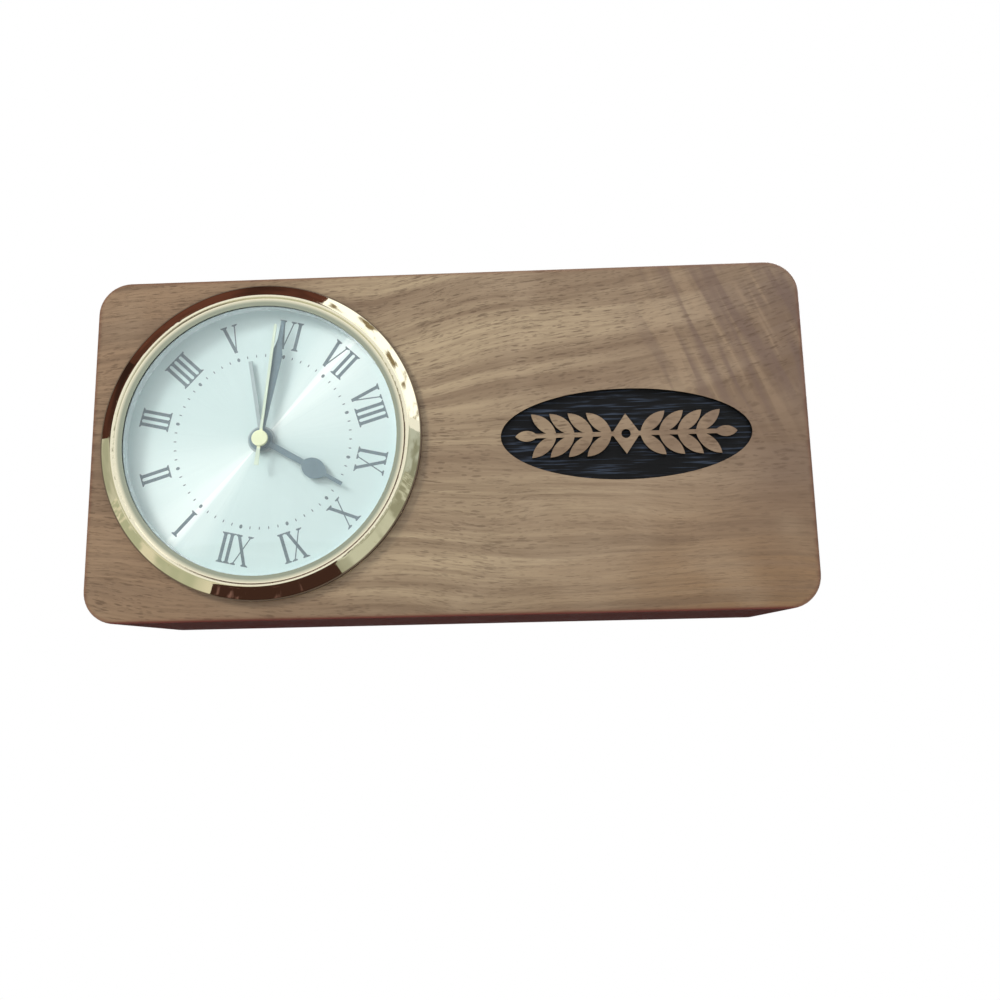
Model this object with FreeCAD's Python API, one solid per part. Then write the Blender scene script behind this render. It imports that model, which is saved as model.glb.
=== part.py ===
import FreeCAD
import Part
import math
import os

# Wooden desk clock: a solid block on its long edge, with a round quartz alarm clock insert
# pushed into a through bore at the left and a sunk oval panel with a raised sprig at the right.
# Millimetres. X runs right, Y runs from the front face to the rear, Z runs up.
# The origin is the middle of the base. The front face looks towards -Y.

# Block
block_width = 203.2
block_height = 99.5
block_depth = 52.0
corner_radius = 9.3
edge_easing = 0.9
bore_easing = 0.8
bore_rise = 1.25
wood_above_bore = 7.0
wood_left_of_bezel = 3.5

# Oval panel, as shares of the wood beside the bezel and of the block's height
panel_depth = 1.5
panel_width_share = 0.6482
panel_height_share = 0.2633
panel_place_share = 0.4709

# Raised sprig in the panel, as shares of the panel's width and height
sprig_stem_width = 1.3
sprig_half_length_share = 0.4416
leaf_length_share = 0.1339
leaf_width_share = 0.0499
leaf_pair_count = 4
leaf_angle = 42.0
bud_length_share = 0.0912
bud_width_share = 0.0442
lozenge_width_share = 0.114
lozenge_height_share = 0.4427
lozenge_eye_radius = 1.3

# How the insert is turned in its bore, clockwise from twelve o'clock at the top
insert_turn = 192.7

# Fits
running_gap = 0.06
sliding_gap = 0.2
seat_gap = 0.02
overrun = 2.0

# Bezel, radially from the edge of the bore
bezel_overlap = 4.2
bezel_edge_height = 1.5
bezel_edge_step = 0.25
crest_outside_bore = 1.1
crest_inside_bore = 0.5
crest_shoulder_height = 3.2
crest_rise = 0.32
lip_inside_bore = 2.6
lip_front_height = 3.05
lip_thickness = 0.25
wall_outside_bore = 0.5
bezel_hollow_share = 0.48

# Crystal
crystal_thickness = 0.9
crystal_dome_inset = 0.7
crystal_dome_rise = 2.1

# Case cup with its friction band
cup_corner_gap = 1.66
cup_wall = 1.0
cup_flange_inset = 1.4
cup_flange_thickness = 0.6
cup_skirt_depth = 13.0
cup_floor_thickness = 1.2
cup_lip_gap = 0.3
cup_lip_length = 1.0
band_room = 0.9
band_front = 2.0
band_base_thickness = 0.4
band_rib_count = 4
band_rib_flat = 0.8

# Dial and reflector ring
dial_setback = 1.2
dial_thickness = 0.4
reflector_wall = 0.6

# Hands: the gap from dial to the first blade, and from blade to blade. Lengths are shares of the
# dial's radius.
first_hand_gap = 0.7
hand_spacing = 0.62
blade_thickness = 0.25
hour_hand_share = 0.6777
hour_shaft_width = 1.7
hour_bulb_share = 0.4467
hour_bulb_width = 5.8
hour_bulb_length = 7.4
hour_tip_width = 1.1
hour_hub_radius = 3.3
spade_side_share = 0.86
spade_low_share = 0.52
spade_high_share = 0.42
minute_hand_share = 0.8909
minute_shaft_width = 1.0
minute_wide_share = 0.6244
minute_wide_width = 3.3
minute_neck_share = 0.7513
minute_tip_width = 1.2
minute_hub_radius = 2.6
second_hand_share = 0.8579
second_tail_share = 0.1954
second_blade_width = 0.8
second_tail_width = 1.3
second_cap_radius = 2.3
second_cap_height = 0.45
second_cap_easing = 0.2
alarm_hand_share = 0.599
alarm_blade_width = 1.1
alarm_hub_radius = 3.9
collet_wall = 0.5
hour_hand_angle = 120.3
minute_hand_angle = 9.6
second_hand_angle = 6.4
alarm_hand_angle = -9.3

# Coaxial arbors at the centre, from the inside out
second_arbor_radius = 0.5
cannon_radius = 1.1
hour_tube_radius = 1.7
alarm_tube_radius = 2.3
collar_radius = 3.4

# Movement housing, sized by the alarm wheel, the partition and the battery below it
housing_corner_radius = 4.0
housing_wall = 1.2
housing_depth = 15.0
partition_gap = 0.98
partition_wall = 1.0
boss_radius = 3.0
boss_shoulder_radius = 2.4
boss_wall_overlap = 0.2
lower_boss_above_partition = 3.0
cover_thickness = 1.2

# Layers of the wheels, measured from the front of the housing
layer_gap = 0.3
wheel_thickness = 0.75
plate_thickness = 1.0
arbor_radius = 0.4
stud_share = 0.6
stator_gap = 0.6
stator_thickness = 0.8
magnet_overhang = 0.3
bridge_gap = 0.6
bridge_thickness = 0.8

# Wheel train: teeth and modules
rotor_teeth = 8
intermediate_teeth = 40
intermediate_pinion_teeth = 8
second_teeth = 48
second_pinion_teeth = 8
third_teeth = 60
third_pinion_teeth = 8
centre_teeth = 64
cannon_teeth = 12
minute_teeth = 36
minute_pinion_teeth = 10
hour_teeth = 40
time_set_teeth = 12
alarm_teeth = 48
alarm_set_teeth = 12
rotor_module = 0.27
second_module = 0.33
third_module = 0.27
motion_module = 0.35
alarm_module = 0.38
tooth_addendum_share = 0.78
tooth_dedendum_share = 1.15
tooth_root_share = 0.54
tooth_tip_share = 0.2

# Angles of the wheel centres, clockwise from the insert's own twelve o'clock
half_turn = 180.0
third_angle = -10.0
intermediate_angle = 75.0
rotor_angle = 60.0
minute_wheel_angle = -110.0
time_set_angle = -70.0
alarm_set_angle = 125.0

# Rotor, stator and coil
rotor_magnet_radius = 2.3
stator_hole_gap = 0.4
stator_pole_wall = 2.5
stator_bar_height = 4.0
stator_leg_width = 2.6
stator_left = -0.6
stator_from_side = 6.0
stator_from_top = 3.6
core_height = 2.4
coil_radius = 2.9
bobbin_tube_wall = 0.5
bobbin_flange_radius = 3.3
bobbin_flange_thickness = 0.5

# Train bridge, its pillars and screws
bridge_left = -14.0
bridge_right = 20.5
bridge_bottom = -8.2
bridge_top = 16.6
bridge_corner_radius = 2.5
pillar_radius = 1.6
left_pillar_u = -11.4
left_pillar_v = 1.6
top_pillar_u = 9.6
top_pillar_v = 13.6
right_pillar_u = 17.0
right_pillar_v = -4.6
pillar_screw_radius = 0.6
pillar_screw_length = 3.0
pillar_screw_head_radius = 1.3
pillar_screw_head_height = 0.5
screw_slot_width = 0.3
screw_slot_depth = 0.25

# Knobs and their shafts
knob_shaft_radius = 0.8
time_knob_radius = 4.6
alarm_knob_radius = 4.1
knob_height = 4.0
knob_gap = 0.3
knob_socket_depth = 3.0
knob_groove_count = 24
knob_groove_depth = 0.35
knob_groove_width_share = 0.5

# Alarm switch
switch_from_side = 3.8
switch_v = 9.5
switch_travel = 4.0
switch_stem_width = 2.0
switch_stem_length = 3.0
switch_foot_margin = 0.9
switch_foot_thickness = 0.7
switch_thumb_width = 3.4
switch_thumb_length = 4.4
switch_thumb_height = 1.6
switch_ridge_count = 3
switch_ridge_depth = 0.3

# Circuit board with its chip, quartz resonator and alarm contact strip
board_from_side = 1.6
board_from_top = 0.6
board_past_stator = 1.2
board_height = 13.6
board_thickness = 0.8
board_gap = 0.3
board_post_radius = 1.4
board_pin_radius = 0.6
board_post_inset = 3.2
chip_radius = 2.8
chip_height = 0.7
resonator_radius = 1.0
resonator_length = 6.0
strip_width = 1.8
strip_thickness = 0.2
strip_solder_length = 2.4

# Buzzer disc and the ring that carries it
buzzer_from_side = 13.4
buzzer_from_top = 11.0
buzzer_wheel_gap = 3.0
buzzer_thickness = 0.3
buzzer_ring_height = 1.8
buzzer_ring_wall = 0.9

# Battery and its contacts
battery_radius = 7.15
battery_lift_gap = 0.95
spring_span = 2.8
battery_nub_radius = 2.7
battery_nub_length = 1.0
battery_easing = 0.5
battery_gap = 0.15
well_corner_radius = 1.8
contact_thickness = 0.4
contact_width = 8.6
contact_height = 8.6

# Case screws and cover screws
case_screw_radius = 0.85
case_screw_length = 6.5
case_screw_head_radius = 1.8
case_screw_head_height = 0.9
cover_screw_head_radius = 1.9
cover_screw_head_height = 1.0
cover_screw_length = 5.5


def clock_point(distance, angle):
    """Place at a distance from the centre, with its angle clockwise from the top."""
    turn = math.radians(angle)
    return (distance * math.sin(turn), distance * math.cos(turn))


def offset(place, step):
    return (place[0] + step[0], place[1] + step[1])


def cylinder(radius, front, back, place=(0, 0)):
    """Round bar along the depth axis."""
    base = FreeCAD.Vector(place[0], front, place[1])
    return Part.makeCylinder(radius, back - front, base, FreeCAD.Vector(0, 1, 0))


def ring(outer, inner, front, back, place=(0, 0)):
    return cylinder(outer, front, back, place).cut(cylinder(inner, front - overrun, back + overrun, place))


def cone(front_radius, back_radius, front, back, place=(0, 0)):
    base = FreeCAD.Vector(place[0], front, place[1])
    return Part.makeCone(front_radius, back_radius, back - front, base, FreeCAD.Vector(0, 1, 0))


def box(left, right, front, back, bottom, top):
    corner = FreeCAD.Vector(left, front, bottom)
    return Part.makeBox(right - left, back - front, top - bottom, corner)


def prism(wire, front, back):
    """A closed wire drawn at depth zero, made solid from front to back."""
    face = Part.Face(wire)
    face.translate(FreeCAD.Vector(0, front, 0))
    return face.extrude(FreeCAD.Vector(0, back - front, 0))


def polygon(points):
    corners = [FreeCAD.Vector(x, 0, z) for x, z in points]
    return Part.makePolygon(corners + corners[:1])


def arc(start, middle, end):
    points = [FreeCAD.Vector(x, 0, z) for x, z in (start, middle, end)]
    return Part.Arc(*points).toShape()


def line(start, end):
    ends = [FreeCAD.Vector(x, 0, z) for x, z in (start, end)]
    return Part.makeLine(*ends)


def rounded_outline(left, right, bottom, top, radius):
    """Rectangle in the face plane with round corners."""
    slant = radius * (1 - math.sqrt(0.5))
    return Part.Wire([
        line((left + radius, bottom), (right - radius, bottom)),
        arc((right - radius, bottom), (right - slant, bottom + slant), (right, bottom + radius)),
        line((right, bottom + radius), (right, top - radius)),
        arc((right, top - radius), (right - slant, top - slant), (right - radius, top)),
        line((right - radius, top), (left + radius, top)),
        arc((left + radius, top), (left + slant, top - slant), (left, top - radius)),
        line((left, top - radius), (left, bottom + radius)),
        arc((left, bottom + radius), (left + slant, bottom + slant), (left + radius, bottom)),
    ])


def revolved(edges):
    """Profile drawn with X as radius and Y as depth, turned about the depth axis."""
    face = Part.Face(Part.Wire(edges))
    return face.revolve(FreeCAD.Vector(0, 0, 0), FreeCAD.Vector(0, 1, 0), 360)


def profile_line(start, end):
    return Part.makeLine(FreeCAD.Vector(start[0], start[1], 0), FreeCAD.Vector(end[0], end[1], 0))


def profile_arc(start, middle, end):
    points = [FreeCAD.Vector(radius, depth, 0) for radius, depth in (start, middle, end)]
    return Part.Arc(*points).toShape()


def profile_chain(points):
    """Straight profile through the points, left open."""
    return [profile_line(start, end) for start, end in zip(points, points[1:])]


def joined(pieces):
    whole = pieces[0]
    for piece in pieces[1:]:
        whole = whole.fuse(piece)
    return whole.removeSplitter()


def cut_all(shape, tools):
    for tool in tools:
        shape = shape.cut(tool)
    return shape


def rotated(shape, angle, place=(0, 0)):
    """Turned clockwise, as seen from the front, about a depth axis at the place."""
    turned = shape.copy()
    turned.rotate(FreeCAD.Vector(place[0], 0, place[1]), FreeCAD.Vector(0, 1, 0), angle)
    return turned


# Toothed wheels

def tip_radius(teeth, module):
    return module * (teeth / 2 + tooth_addendum_share)


def gear(teeth, module, front, back, place=(0, 0), phase=0):
    """Straight-flanked teeth, one of them centred at the phase, clockwise from the top."""
    pitch = 360 / teeth
    root = module * (teeth / 2 - tooth_dedendum_share)
    tip = tip_radius(teeth, module)
    half_root = pitch * tooth_root_share / 2
    half_tip = pitch * tooth_tip_share / 2
    points = []
    for index in range(teeth):
        middle = phase + index * pitch
        points.append(clock_point(root, middle - half_root))
        points.append(clock_point(tip, middle - half_tip))
        points.append(clock_point(tip, middle + half_tip))
        points.append(clock_point(root, middle + half_root))
    return prism(polygon([offset(place, point) for point in points]), front, back)


def mesh_phase(phase, teeth, next_teeth, angle):
    """Phase of the next wheel whose teeth stand in the gaps of this one."""
    share = (phase - angle) * teeth / 360 + 0.5
    return angle + half_turn - share * 360 / next_teeth


def centre_distance(teeth, next_teeth, module):
    return module * (teeth + next_teeth) / 2


# Sizes in the face plane: the wheels and the battery size the case, the case sizes the cup, and the
# insert as drawn is then scaled to the bore that the block's height leaves
alarm_tip_radius = tip_radius(alarm_teeth, alarm_module)
partition_below_centre = alarm_tip_radius + partition_gap
well_top = -partition_below_centre - partition_wall
battery_v = well_top - battery_gap - battery_radius
half_case = battery_radius - battery_v + battery_lift_gap + housing_wall
inner_half = half_case - housing_wall
case_corner_reach = math.sqrt(2) * (half_case - housing_corner_radius) + housing_corner_radius
cup_inner_radius = case_corner_reach + cup_corner_gap
cup_outer_radius = cup_inner_radius + cup_wall
drawn_bore_radius = cup_outer_radius + band_room
bezel_radius = drawn_bore_radius + bezel_overlap
crest_outer_radius = drawn_bore_radius + crest_outside_bore
crest_inner_radius = drawn_bore_radius - crest_inside_bore
bezel_wall_radius = drawn_bore_radius + wall_outside_bore
lip_radius = drawn_bore_radius - lip_inside_bore
crystal_rim_radius = bezel_wall_radius - sliding_gap
crystal_dome_radius = lip_radius - crystal_dome_inset
cup_flange_radius = bezel_radius - cup_flange_inset
cup_lip_radius = drawn_bore_radius - cup_lip_gap
dial_radius = cup_inner_radius - sliding_gap
hour_hand_length = dial_radius * hour_hand_share
hour_bulb_radius = dial_radius * hour_bulb_share
minute_hand_length = dial_radius * minute_hand_share
minute_wide_radius = dial_radius * minute_wide_share
minute_neck_radius = dial_radius * minute_neck_share
second_hand_length = dial_radius * second_hand_share
second_tail_length = dial_radius * second_tail_share
alarm_hand_length = dial_radius * alarm_hand_share

# Bore in the block, the insert's scale, and the places of bore and panel
bore_radius = block_height / 2 - bore_rise - wood_above_bore
insert_scale = bore_radius / drawn_bore_radius
insert_from_left = wood_left_of_bezel + bezel_radius * insert_scale
insert_x = insert_from_left - block_width / 2
insert_y = -block_depth / 2
insert_above_base = block_height / 2 + bore_rise
wood_beside_bezel = block_width - insert_from_left - bezel_radius * insert_scale
panel_width = wood_beside_bezel * panel_width_share
panel_height = block_height * panel_height_share
panel_x = block_width / 2 - wood_beside_bezel * panel_place_share
panel_above_base = block_height / 2
sprig_half_length = panel_width * sprig_half_length_share
leaf_length = panel_width * leaf_length_share
leaf_width = panel_width * leaf_width_share
bud_length = panel_width * bud_length_share
bud_width = panel_width * bud_width_share
lozenge_width = panel_width * lozenge_width_share
lozenge_height = panel_height * lozenge_height_share

# Depths, measured from the wood face into the block
dial_front = dial_setback
dial_back = dial_front + dial_thickness
cup_floor_back = dial_back + cup_floor_thickness
crystal_back = -(lip_front_height - lip_thickness) + crystal_thickness
alarm_blade_back = dial_front - first_hand_gap
hour_blade_back = alarm_blade_back - hand_spacing
minute_blade_back = hour_blade_back - hand_spacing
second_blade_back = minute_blade_back - hand_spacing
case_front = cup_floor_back

# Layers from the housing floor towards the rear
alarm_layer = case_front + housing_wall + layer_gap
hour_layer = alarm_layer + wheel_thickness + layer_gap
cannon_layer = hour_layer + wheel_thickness + layer_gap
plate_front = cannon_layer + wheel_thickness + layer_gap
plate_back = plate_front + plate_thickness
centre_layer = plate_back + layer_gap
third_layer = centre_layer + wheel_thickness + layer_gap
second_layer = third_layer + wheel_thickness + layer_gap
intermediate_layer = second_layer + wheel_thickness + layer_gap
stator_front = intermediate_layer + wheel_thickness + stator_gap
stator_back = stator_front + stator_thickness
bridge_front = stator_back + bridge_gap
bridge_back = bridge_front + bridge_thickness
case_back = case_front + housing_depth
cover_back = case_back + cover_thickness
board_back = case_back - board_gap
board_front = board_back - board_thickness

# Wheel centres in the face plane, about the insert's centre
third_distance = centre_distance(second_pinion_teeth, third_teeth, third_module)
centre_module = 2 * third_distance / (third_pinion_teeth + centre_teeth)
third_place = clock_point(third_distance, third_angle)
intermediate_distance = centre_distance(second_teeth, intermediate_pinion_teeth, second_module)
intermediate_place = clock_point(intermediate_distance, intermediate_angle)
rotor_distance = centre_distance(intermediate_teeth, rotor_teeth, rotor_module)
rotor_place = offset(intermediate_place, clock_point(rotor_distance, rotor_angle))
minute_distance = centre_distance(cannon_teeth, minute_teeth, motion_module)
hour_module = 2 * minute_distance / (minute_pinion_teeth + hour_teeth)
minute_place = clock_point(minute_distance, minute_wheel_angle)
time_set_distance = centre_distance(minute_teeth, time_set_teeth, motion_module)
time_set_place = offset(minute_place, clock_point(time_set_distance, time_set_angle))
alarm_set_distance = centre_distance(alarm_teeth, alarm_set_teeth, alarm_module)
alarm_set_place = clock_point(alarm_set_distance, alarm_set_angle)

# Screw bosses of the housing
boss_reach = inner_half - boss_radius + boss_wall_overlap
lower_boss_v = lower_boss_above_partition - partition_below_centre
boss_places = [
    (-boss_reach, boss_reach),
    (boss_reach, boss_reach),
    (-boss_reach, lower_boss_v),
    (boss_reach, lower_boss_v),
]
pillar_places = [
    (left_pillar_u, left_pillar_v),
    (top_pillar_u, top_pillar_v),
    (right_pillar_u, right_pillar_v),
]

# Pieces that stand off the walls of the case
stator_right = inner_half - stator_from_side
stator_top = inner_half - stator_from_top
switch_u = inner_half - switch_from_side
board_left = board_from_side - inner_half
board_right = stator_left + board_past_stator
board_top = inner_half - board_from_top
board_bottom = board_top - board_height
buzzer_u = inner_half - buzzer_from_side
buzzer_v = inner_half - buzzer_from_top
buzzer_radius = math.hypot(buzzer_u, buzzer_v) - alarm_tip_radius - buzzer_wheel_gap
board_post_places = [
    (board_left + board_post_inset, board_bottom + board_post_inset),
    (board_right - board_post_inset, board_top - board_post_inset),
]

# Battery between its contacts
battery_depth = case_front + housing_wall + battery_gap + battery_radius
battery_right = inner_half - contact_thickness - battery_nub_length
battery_left = spring_span - inner_half

# Knobs
knob_front = cover_back + knob_gap
knob_back = knob_front + knob_height
shaft_back = knob_front + knob_socket_depth


def pointed(shape, angle):
    """Turned to an angle, scaled to the bore and moved from the drawing centre into it."""
    placed = rotated(shape, angle)
    placed.scale(insert_scale)
    placed.translate(FreeCAD.Vector(insert_x, insert_y, insert_above_base))
    return placed


def seated(shape):
    """Turned as the whole insert is turned in its bore."""
    return pointed(shape, insert_turn)


# Block and panel

def leaf(base, angle, length, width):
    """Pointed leaf between two arcs, from its base in the direction of the angle."""
    tip = offset(base, clock_point(length, angle))
    middle = offset(base, clock_point(length / 2, angle))
    side = clock_point(width / 2, angle + 90)
    other = clock_point(-width / 2, angle + 90)
    outline = Part.Wire([arc(base, offset(middle, side), tip), arc(tip, offset(middle, other), base)])
    return prism(outline, -overrun, panel_depth + overrun)


def sprig():
    """Raised ornament: a stem with leaf pairs to each side of an open lozenge."""
    lozenge = prism(polygon([
        (-lozenge_width / 2, 0), (0, lozenge_height / 2), (lozenge_width / 2, 0), (0, -lozenge_height / 2),
    ]), -overrun, panel_depth + overrun)
    pieces = [lozenge]
    stem_end = sprig_half_length - bud_length
    half_stem = sprig_stem_width / 2
    pieces.append(box(-stem_end - half_stem, stem_end + half_stem, -overrun, panel_depth + overrun,
                      -half_stem, half_stem))
    first_leaf = lozenge_width / 2
    leaf_step = (stem_end - first_leaf) / leaf_pair_count
    for side in (-1, 1):
        for index in range(leaf_pair_count):
            base = (side * (first_leaf + index * leaf_step), 0)
            for lean in (-leaf_angle, leaf_angle):
                pieces.append(leaf(base, side * (90 + lean), leaf_length, leaf_width))
        pieces.append(leaf((side * stem_end, 0), side * 90, bud_length, bud_width))
    ornament = joined(pieces)
    return ornament.cut(cylinder(lozenge_eye_radius, -2 * overrun, panel_depth + 2 * overrun))


def make_block():
    outline = rounded_outline(-block_width / 2, block_width / 2, 0, block_height, corner_radius)
    body = prism(outline, -block_depth / 2, block_depth / 2)
    rim = [edge for edge in body.Edges if abs(edge.BoundBox.YLength) < seat_gap]
    body = body.makeFillet(edge_easing, rim)
    bore = cylinder(bore_radius, -block_depth / 2 - overrun, block_depth / 2 + overrun,
                    (insert_x, insert_above_base))
    rear = block_depth / 2
    mouth = cone(bore_radius, bore_radius + bore_easing, rear - bore_easing, rear,
                 (insert_x, insert_above_base))
    oval = Part.Ellipse(FreeCAD.Vector(panel_width / 2, 0, 0), FreeCAD.Vector(0, 0, panel_height / 2),
                        FreeCAD.Vector(0, 0, 0))
    pocket = prism(Part.Wire(oval.toShape()), -overrun, panel_depth).cut(sprig())
    pocket.translate(FreeCAD.Vector(panel_x, -block_depth / 2, panel_above_base))
    return cut_all(body, [bore, mouth, pocket])


# Case of the insert

def make_bezel():
    """Turned brass ring: a thin edge, a hollow flank, a round crest and a bevel down to the lip."""
    edge_top = (bezel_radius, -bezel_edge_height)
    flank_foot = (bezel_radius - bezel_edge_step, -bezel_edge_height)
    shoulder = (crest_outer_radius, -crest_shoulder_height)
    hollow = (crest_outer_radius + (flank_foot[0] - shoulder[0]) * bezel_hollow_share,
              -bezel_edge_height - (crest_shoulder_height - bezel_edge_height) * bezel_hollow_share)
    crest_inner = (crest_inner_radius, -crest_shoulder_height)
    crest_top = ((crest_outer_radius + crest_inner_radius) / 2, -crest_shoulder_height - crest_rise)
    lip_front = (lip_radius, -lip_front_height)
    lip_back = (lip_radius, -lip_front_height + lip_thickness)
    cavity_front = (bezel_wall_radius, -lip_front_height + lip_thickness)
    flange_front = (bezel_wall_radius, -cup_flange_thickness)
    flange_outer = (cup_flange_radius + seat_gap, -cup_flange_thickness)
    edges = profile_chain([(bezel_radius, 0), edge_top, flank_foot])
    edges.append(profile_arc(flank_foot, hollow, shoulder))
    edges.append(profile_arc(shoulder, crest_top, crest_inner))
    edges += profile_chain([crest_inner, lip_front, lip_back, cavity_front, flange_front, flange_outer,
                            (cup_flange_radius + seat_gap, 0), (bezel_radius, 0)])
    return revolved(edges)


def make_crystal():
    """Low domed glass with a flat rim under the bezel's lip."""
    rim_front = -(lip_front_height - lip_thickness)
    dome = cylinder(crystal_dome_radius, rim_front - crystal_dome_rise - overrun, crystal_back)
    dome = dome.common(dome_ball(rim_front)).cut(dome_ball(crystal_back))
    return joined([dome, ring(crystal_rim_radius, crystal_dome_radius, rim_front, crystal_back)])


def dome_ball(rim_depth):
    """Ball whose cap is a dome that starts at the rim depth, with its poles out to the sides."""
    radius = (crystal_dome_radius ** 2 + crystal_dome_rise ** 2) / (2 * crystal_dome_rise)
    middle = FreeCAD.Vector(0, rim_depth - crystal_dome_rise + radius, 0)
    return Part.makeSphere(radius, middle, FreeCAD.Vector(1, 0, 0))


def make_cup():
    """Pan that carries dial and movement, with a flange on the wood and a skirt for the band."""
    inner = cup_inner_radius
    floor_front = dial_back
    edges = profile_chain([
        (collar_radius + sliding_gap, floor_front), (inner, floor_front), (inner, -cup_flange_thickness),
        (cup_flange_radius, -cup_flange_thickness), (cup_flange_radius, 0), (cup_outer_radius, 0),
        (cup_outer_radius, cup_skirt_depth - cup_lip_length),
        (cup_lip_radius, cup_skirt_depth - cup_lip_length),
        (cup_lip_radius, cup_skirt_depth), (inner, cup_skirt_depth), (inner, cup_floor_back),
        (collar_radius + sliding_gap, cup_floor_back), (collar_radius + sliding_gap, floor_front),
    ])
    cup = revolved(edges)
    for place in boss_places:
        cup = cup.cut(cone(case_screw_head_radius + sliding_gap, case_screw_radius + sliding_gap,
                           floor_front, floor_front + case_screw_head_height + sliding_gap, place))
        cup = cup.cut(cylinder(case_screw_radius + sliding_gap, floor_front, cup_floor_back + overrun, place))
    return cup


def make_friction_band():
    """Rubber band round the cup: ribs that grip the bore."""
    inner = cup_outer_radius + running_gap
    base = inner + band_base_thickness
    crest = drawn_bore_radius - running_gap
    back = cup_skirt_depth - cup_lip_length - sliding_gap
    rib_pitch = (back - band_front) / band_rib_count
    points = [(inner, band_front), (base, band_front)]
    for index in range(band_rib_count):
        middle = band_front + (index + 0.5) * rib_pitch
        points.append((base, middle - band_rib_flat))
        points.append((crest, middle - band_rib_flat / 2))
        points.append((crest, middle + band_rib_flat / 2))
        points.append((base, middle + band_rib_flat))
    points += [(base, back), (inner, back), (inner, band_front)]
    return revolved(profile_chain(points))


def make_reflector_ring():
    return ring(lip_radius + reflector_wall, lip_radius, crystal_back, dial_front)


def make_dial():
    return ring(dial_radius, alarm_tube_radius + sliding_gap, dial_front, dial_back)


# Hands, drawn upright

def blade(points, back):
    """Flat blade with the outline given for its right half, tip first."""
    mirrored = [(-x, z) for x, z in reversed(points)]
    return prism(polygon(points + mirrored), back - blade_thickness, back)


def make_hour_hand():
    half_length = hour_bulb_length / 2
    low = hour_bulb_radius - half_length
    high = hour_bulb_radius + half_length
    half_width = hour_bulb_width / 2
    half_shaft = hour_shaft_width / 2
    half_tip = hour_tip_width / 2
    waist = (half_width * spade_side_share, hour_bulb_radius - half_length * spade_low_share)
    shoulder = (half_width * spade_side_share, hour_bulb_radius + half_length * spade_high_share)
    right = [
        line((half_shaft, 0), (half_shaft, low)),
        arc((half_shaft, low), waist, (half_width, hour_bulb_radius)),
        arc((half_width, hour_bulb_radius), shoulder, (half_tip, high)),
        line((half_tip, high), (half_tip, hour_hand_length)),
    ]
    left = [
        line((-half_tip, hour_hand_length), (-half_tip, high)),
        arc((-half_tip, high), (-shoulder[0], shoulder[1]), (-half_width, hour_bulb_radius)),
        arc((-half_width, hour_bulb_radius), (-waist[0], waist[1]), (-half_shaft, low)),
        line((-half_shaft, low), (-half_shaft, 0)),
    ]
    outline = right + [line((half_tip, hour_hand_length), (-half_tip, hour_hand_length))] + left
    outline.append(line((-half_shaft, 0), (half_shaft, 0)))
    flat = prism(Part.Wire(outline), hour_blade_back - blade_thickness, hour_blade_back)
    return with_collet(flat, hour_hub_radius, hour_tube_radius, hour_blade_back)


def with_collet(flat, hub_radius, bore, blade_back):
    """Blade joined to its hub disc and to the collet that grips the tube."""
    collet_back = blade_back + hand_spacing - blade_thickness - sliding_gap
    hub = cylinder(hub_radius, blade_back - blade_thickness, blade_back)
    collet = cylinder(bore + collet_wall, blade_back - blade_thickness, collet_back)
    hand = joined([flat, hub, collet])
    return hand.cut(cylinder(bore + seat_gap, blade_back - overrun, collet_back + overrun))


def make_minute_hand():
    flat = blade([
        (minute_shaft_width / 2, 0), (minute_wide_width / 2, minute_wide_radius),
        (minute_tip_width / 2, minute_neck_radius), (minute_tip_width / 2, minute_hand_length),
    ], minute_blade_back)
    return with_collet(flat, minute_hub_radius, cannon_radius, minute_blade_back)


def make_alarm_hand():
    flat = blade([(alarm_blade_width / 2, 0), (alarm_blade_width / 2, alarm_hand_length)], alarm_blade_back)
    return with_collet(flat, alarm_hub_radius, alarm_tube_radius, alarm_blade_back)


def make_second_hand():
    """Thin blade with a tail under a round cap, on a stem pressed over the arbor."""
    front = second_blade_back - blade_thickness
    flat = blade([(second_tail_width / 2, -second_tail_length), (second_blade_width / 2, 0),
                  (second_blade_width / 2, second_hand_length)], second_blade_back)
    cap = cylinder(second_cap_radius, front - second_cap_height, second_blade_back)
    face = [edge for edge in cap.Edges if edge.BoundBox.YMax < front]
    cap = cap.makeFillet(second_cap_easing, face)
    stem_back = second_blade_back + hand_spacing - blade_thickness - sliding_gap
    stem = cylinder(second_arbor_radius + collet_wall, second_blade_back, stem_back)
    hand = joined([flat, cap, stem])
    return hand.cut(cylinder(second_arbor_radius + seat_gap, front, stem_back + overrun))


# Movement case

def make_housing():
    """Open box with a partition for the battery, screw bosses and a collar through the cup."""
    shell = prism(rounded_outline(-half_case, half_case, -half_case, half_case, housing_corner_radius),
                  case_front, case_back)
    inner_corner = housing_corner_radius - housing_wall
    floor_back = case_front + housing_wall
    train_room = rounded_outline(-inner_half, inner_half, -partition_below_centre, inner_half, inner_corner)
    battery_room = rounded_outline(-inner_half, inner_half, -inner_half, well_top, well_corner_radius)
    shell = shell.cut(prism(train_room, floor_back, case_back + overrun))
    shell = shell.cut(prism(battery_room, floor_back, case_back + overrun))
    pieces = [shell, cylinder(collar_radius, dial_back, floor_back)]
    for place in boss_places:
        pieces.append(cylinder(boss_radius, case_front, plate_front, place))
        pieces.append(cylinder(boss_shoulder_radius, plate_front, case_back, place))
    buzzer_place = (buzzer_u, buzzer_v)
    pieces.append(ring(buzzer_radius, buzzer_radius - buzzer_ring_wall, floor_back,
                       floor_back + buzzer_ring_height, buzzer_place))
    housing = joined(pieces)
    tools = [cylinder(alarm_tube_radius + running_gap, dial_back - overrun, floor_back + overrun)]
    for place in boss_places:
        tools.append(cylinder(case_screw_radius + seat_gap, case_front - overrun, case_back + overrun, place))
    return cut_all(housing, tools)


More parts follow.
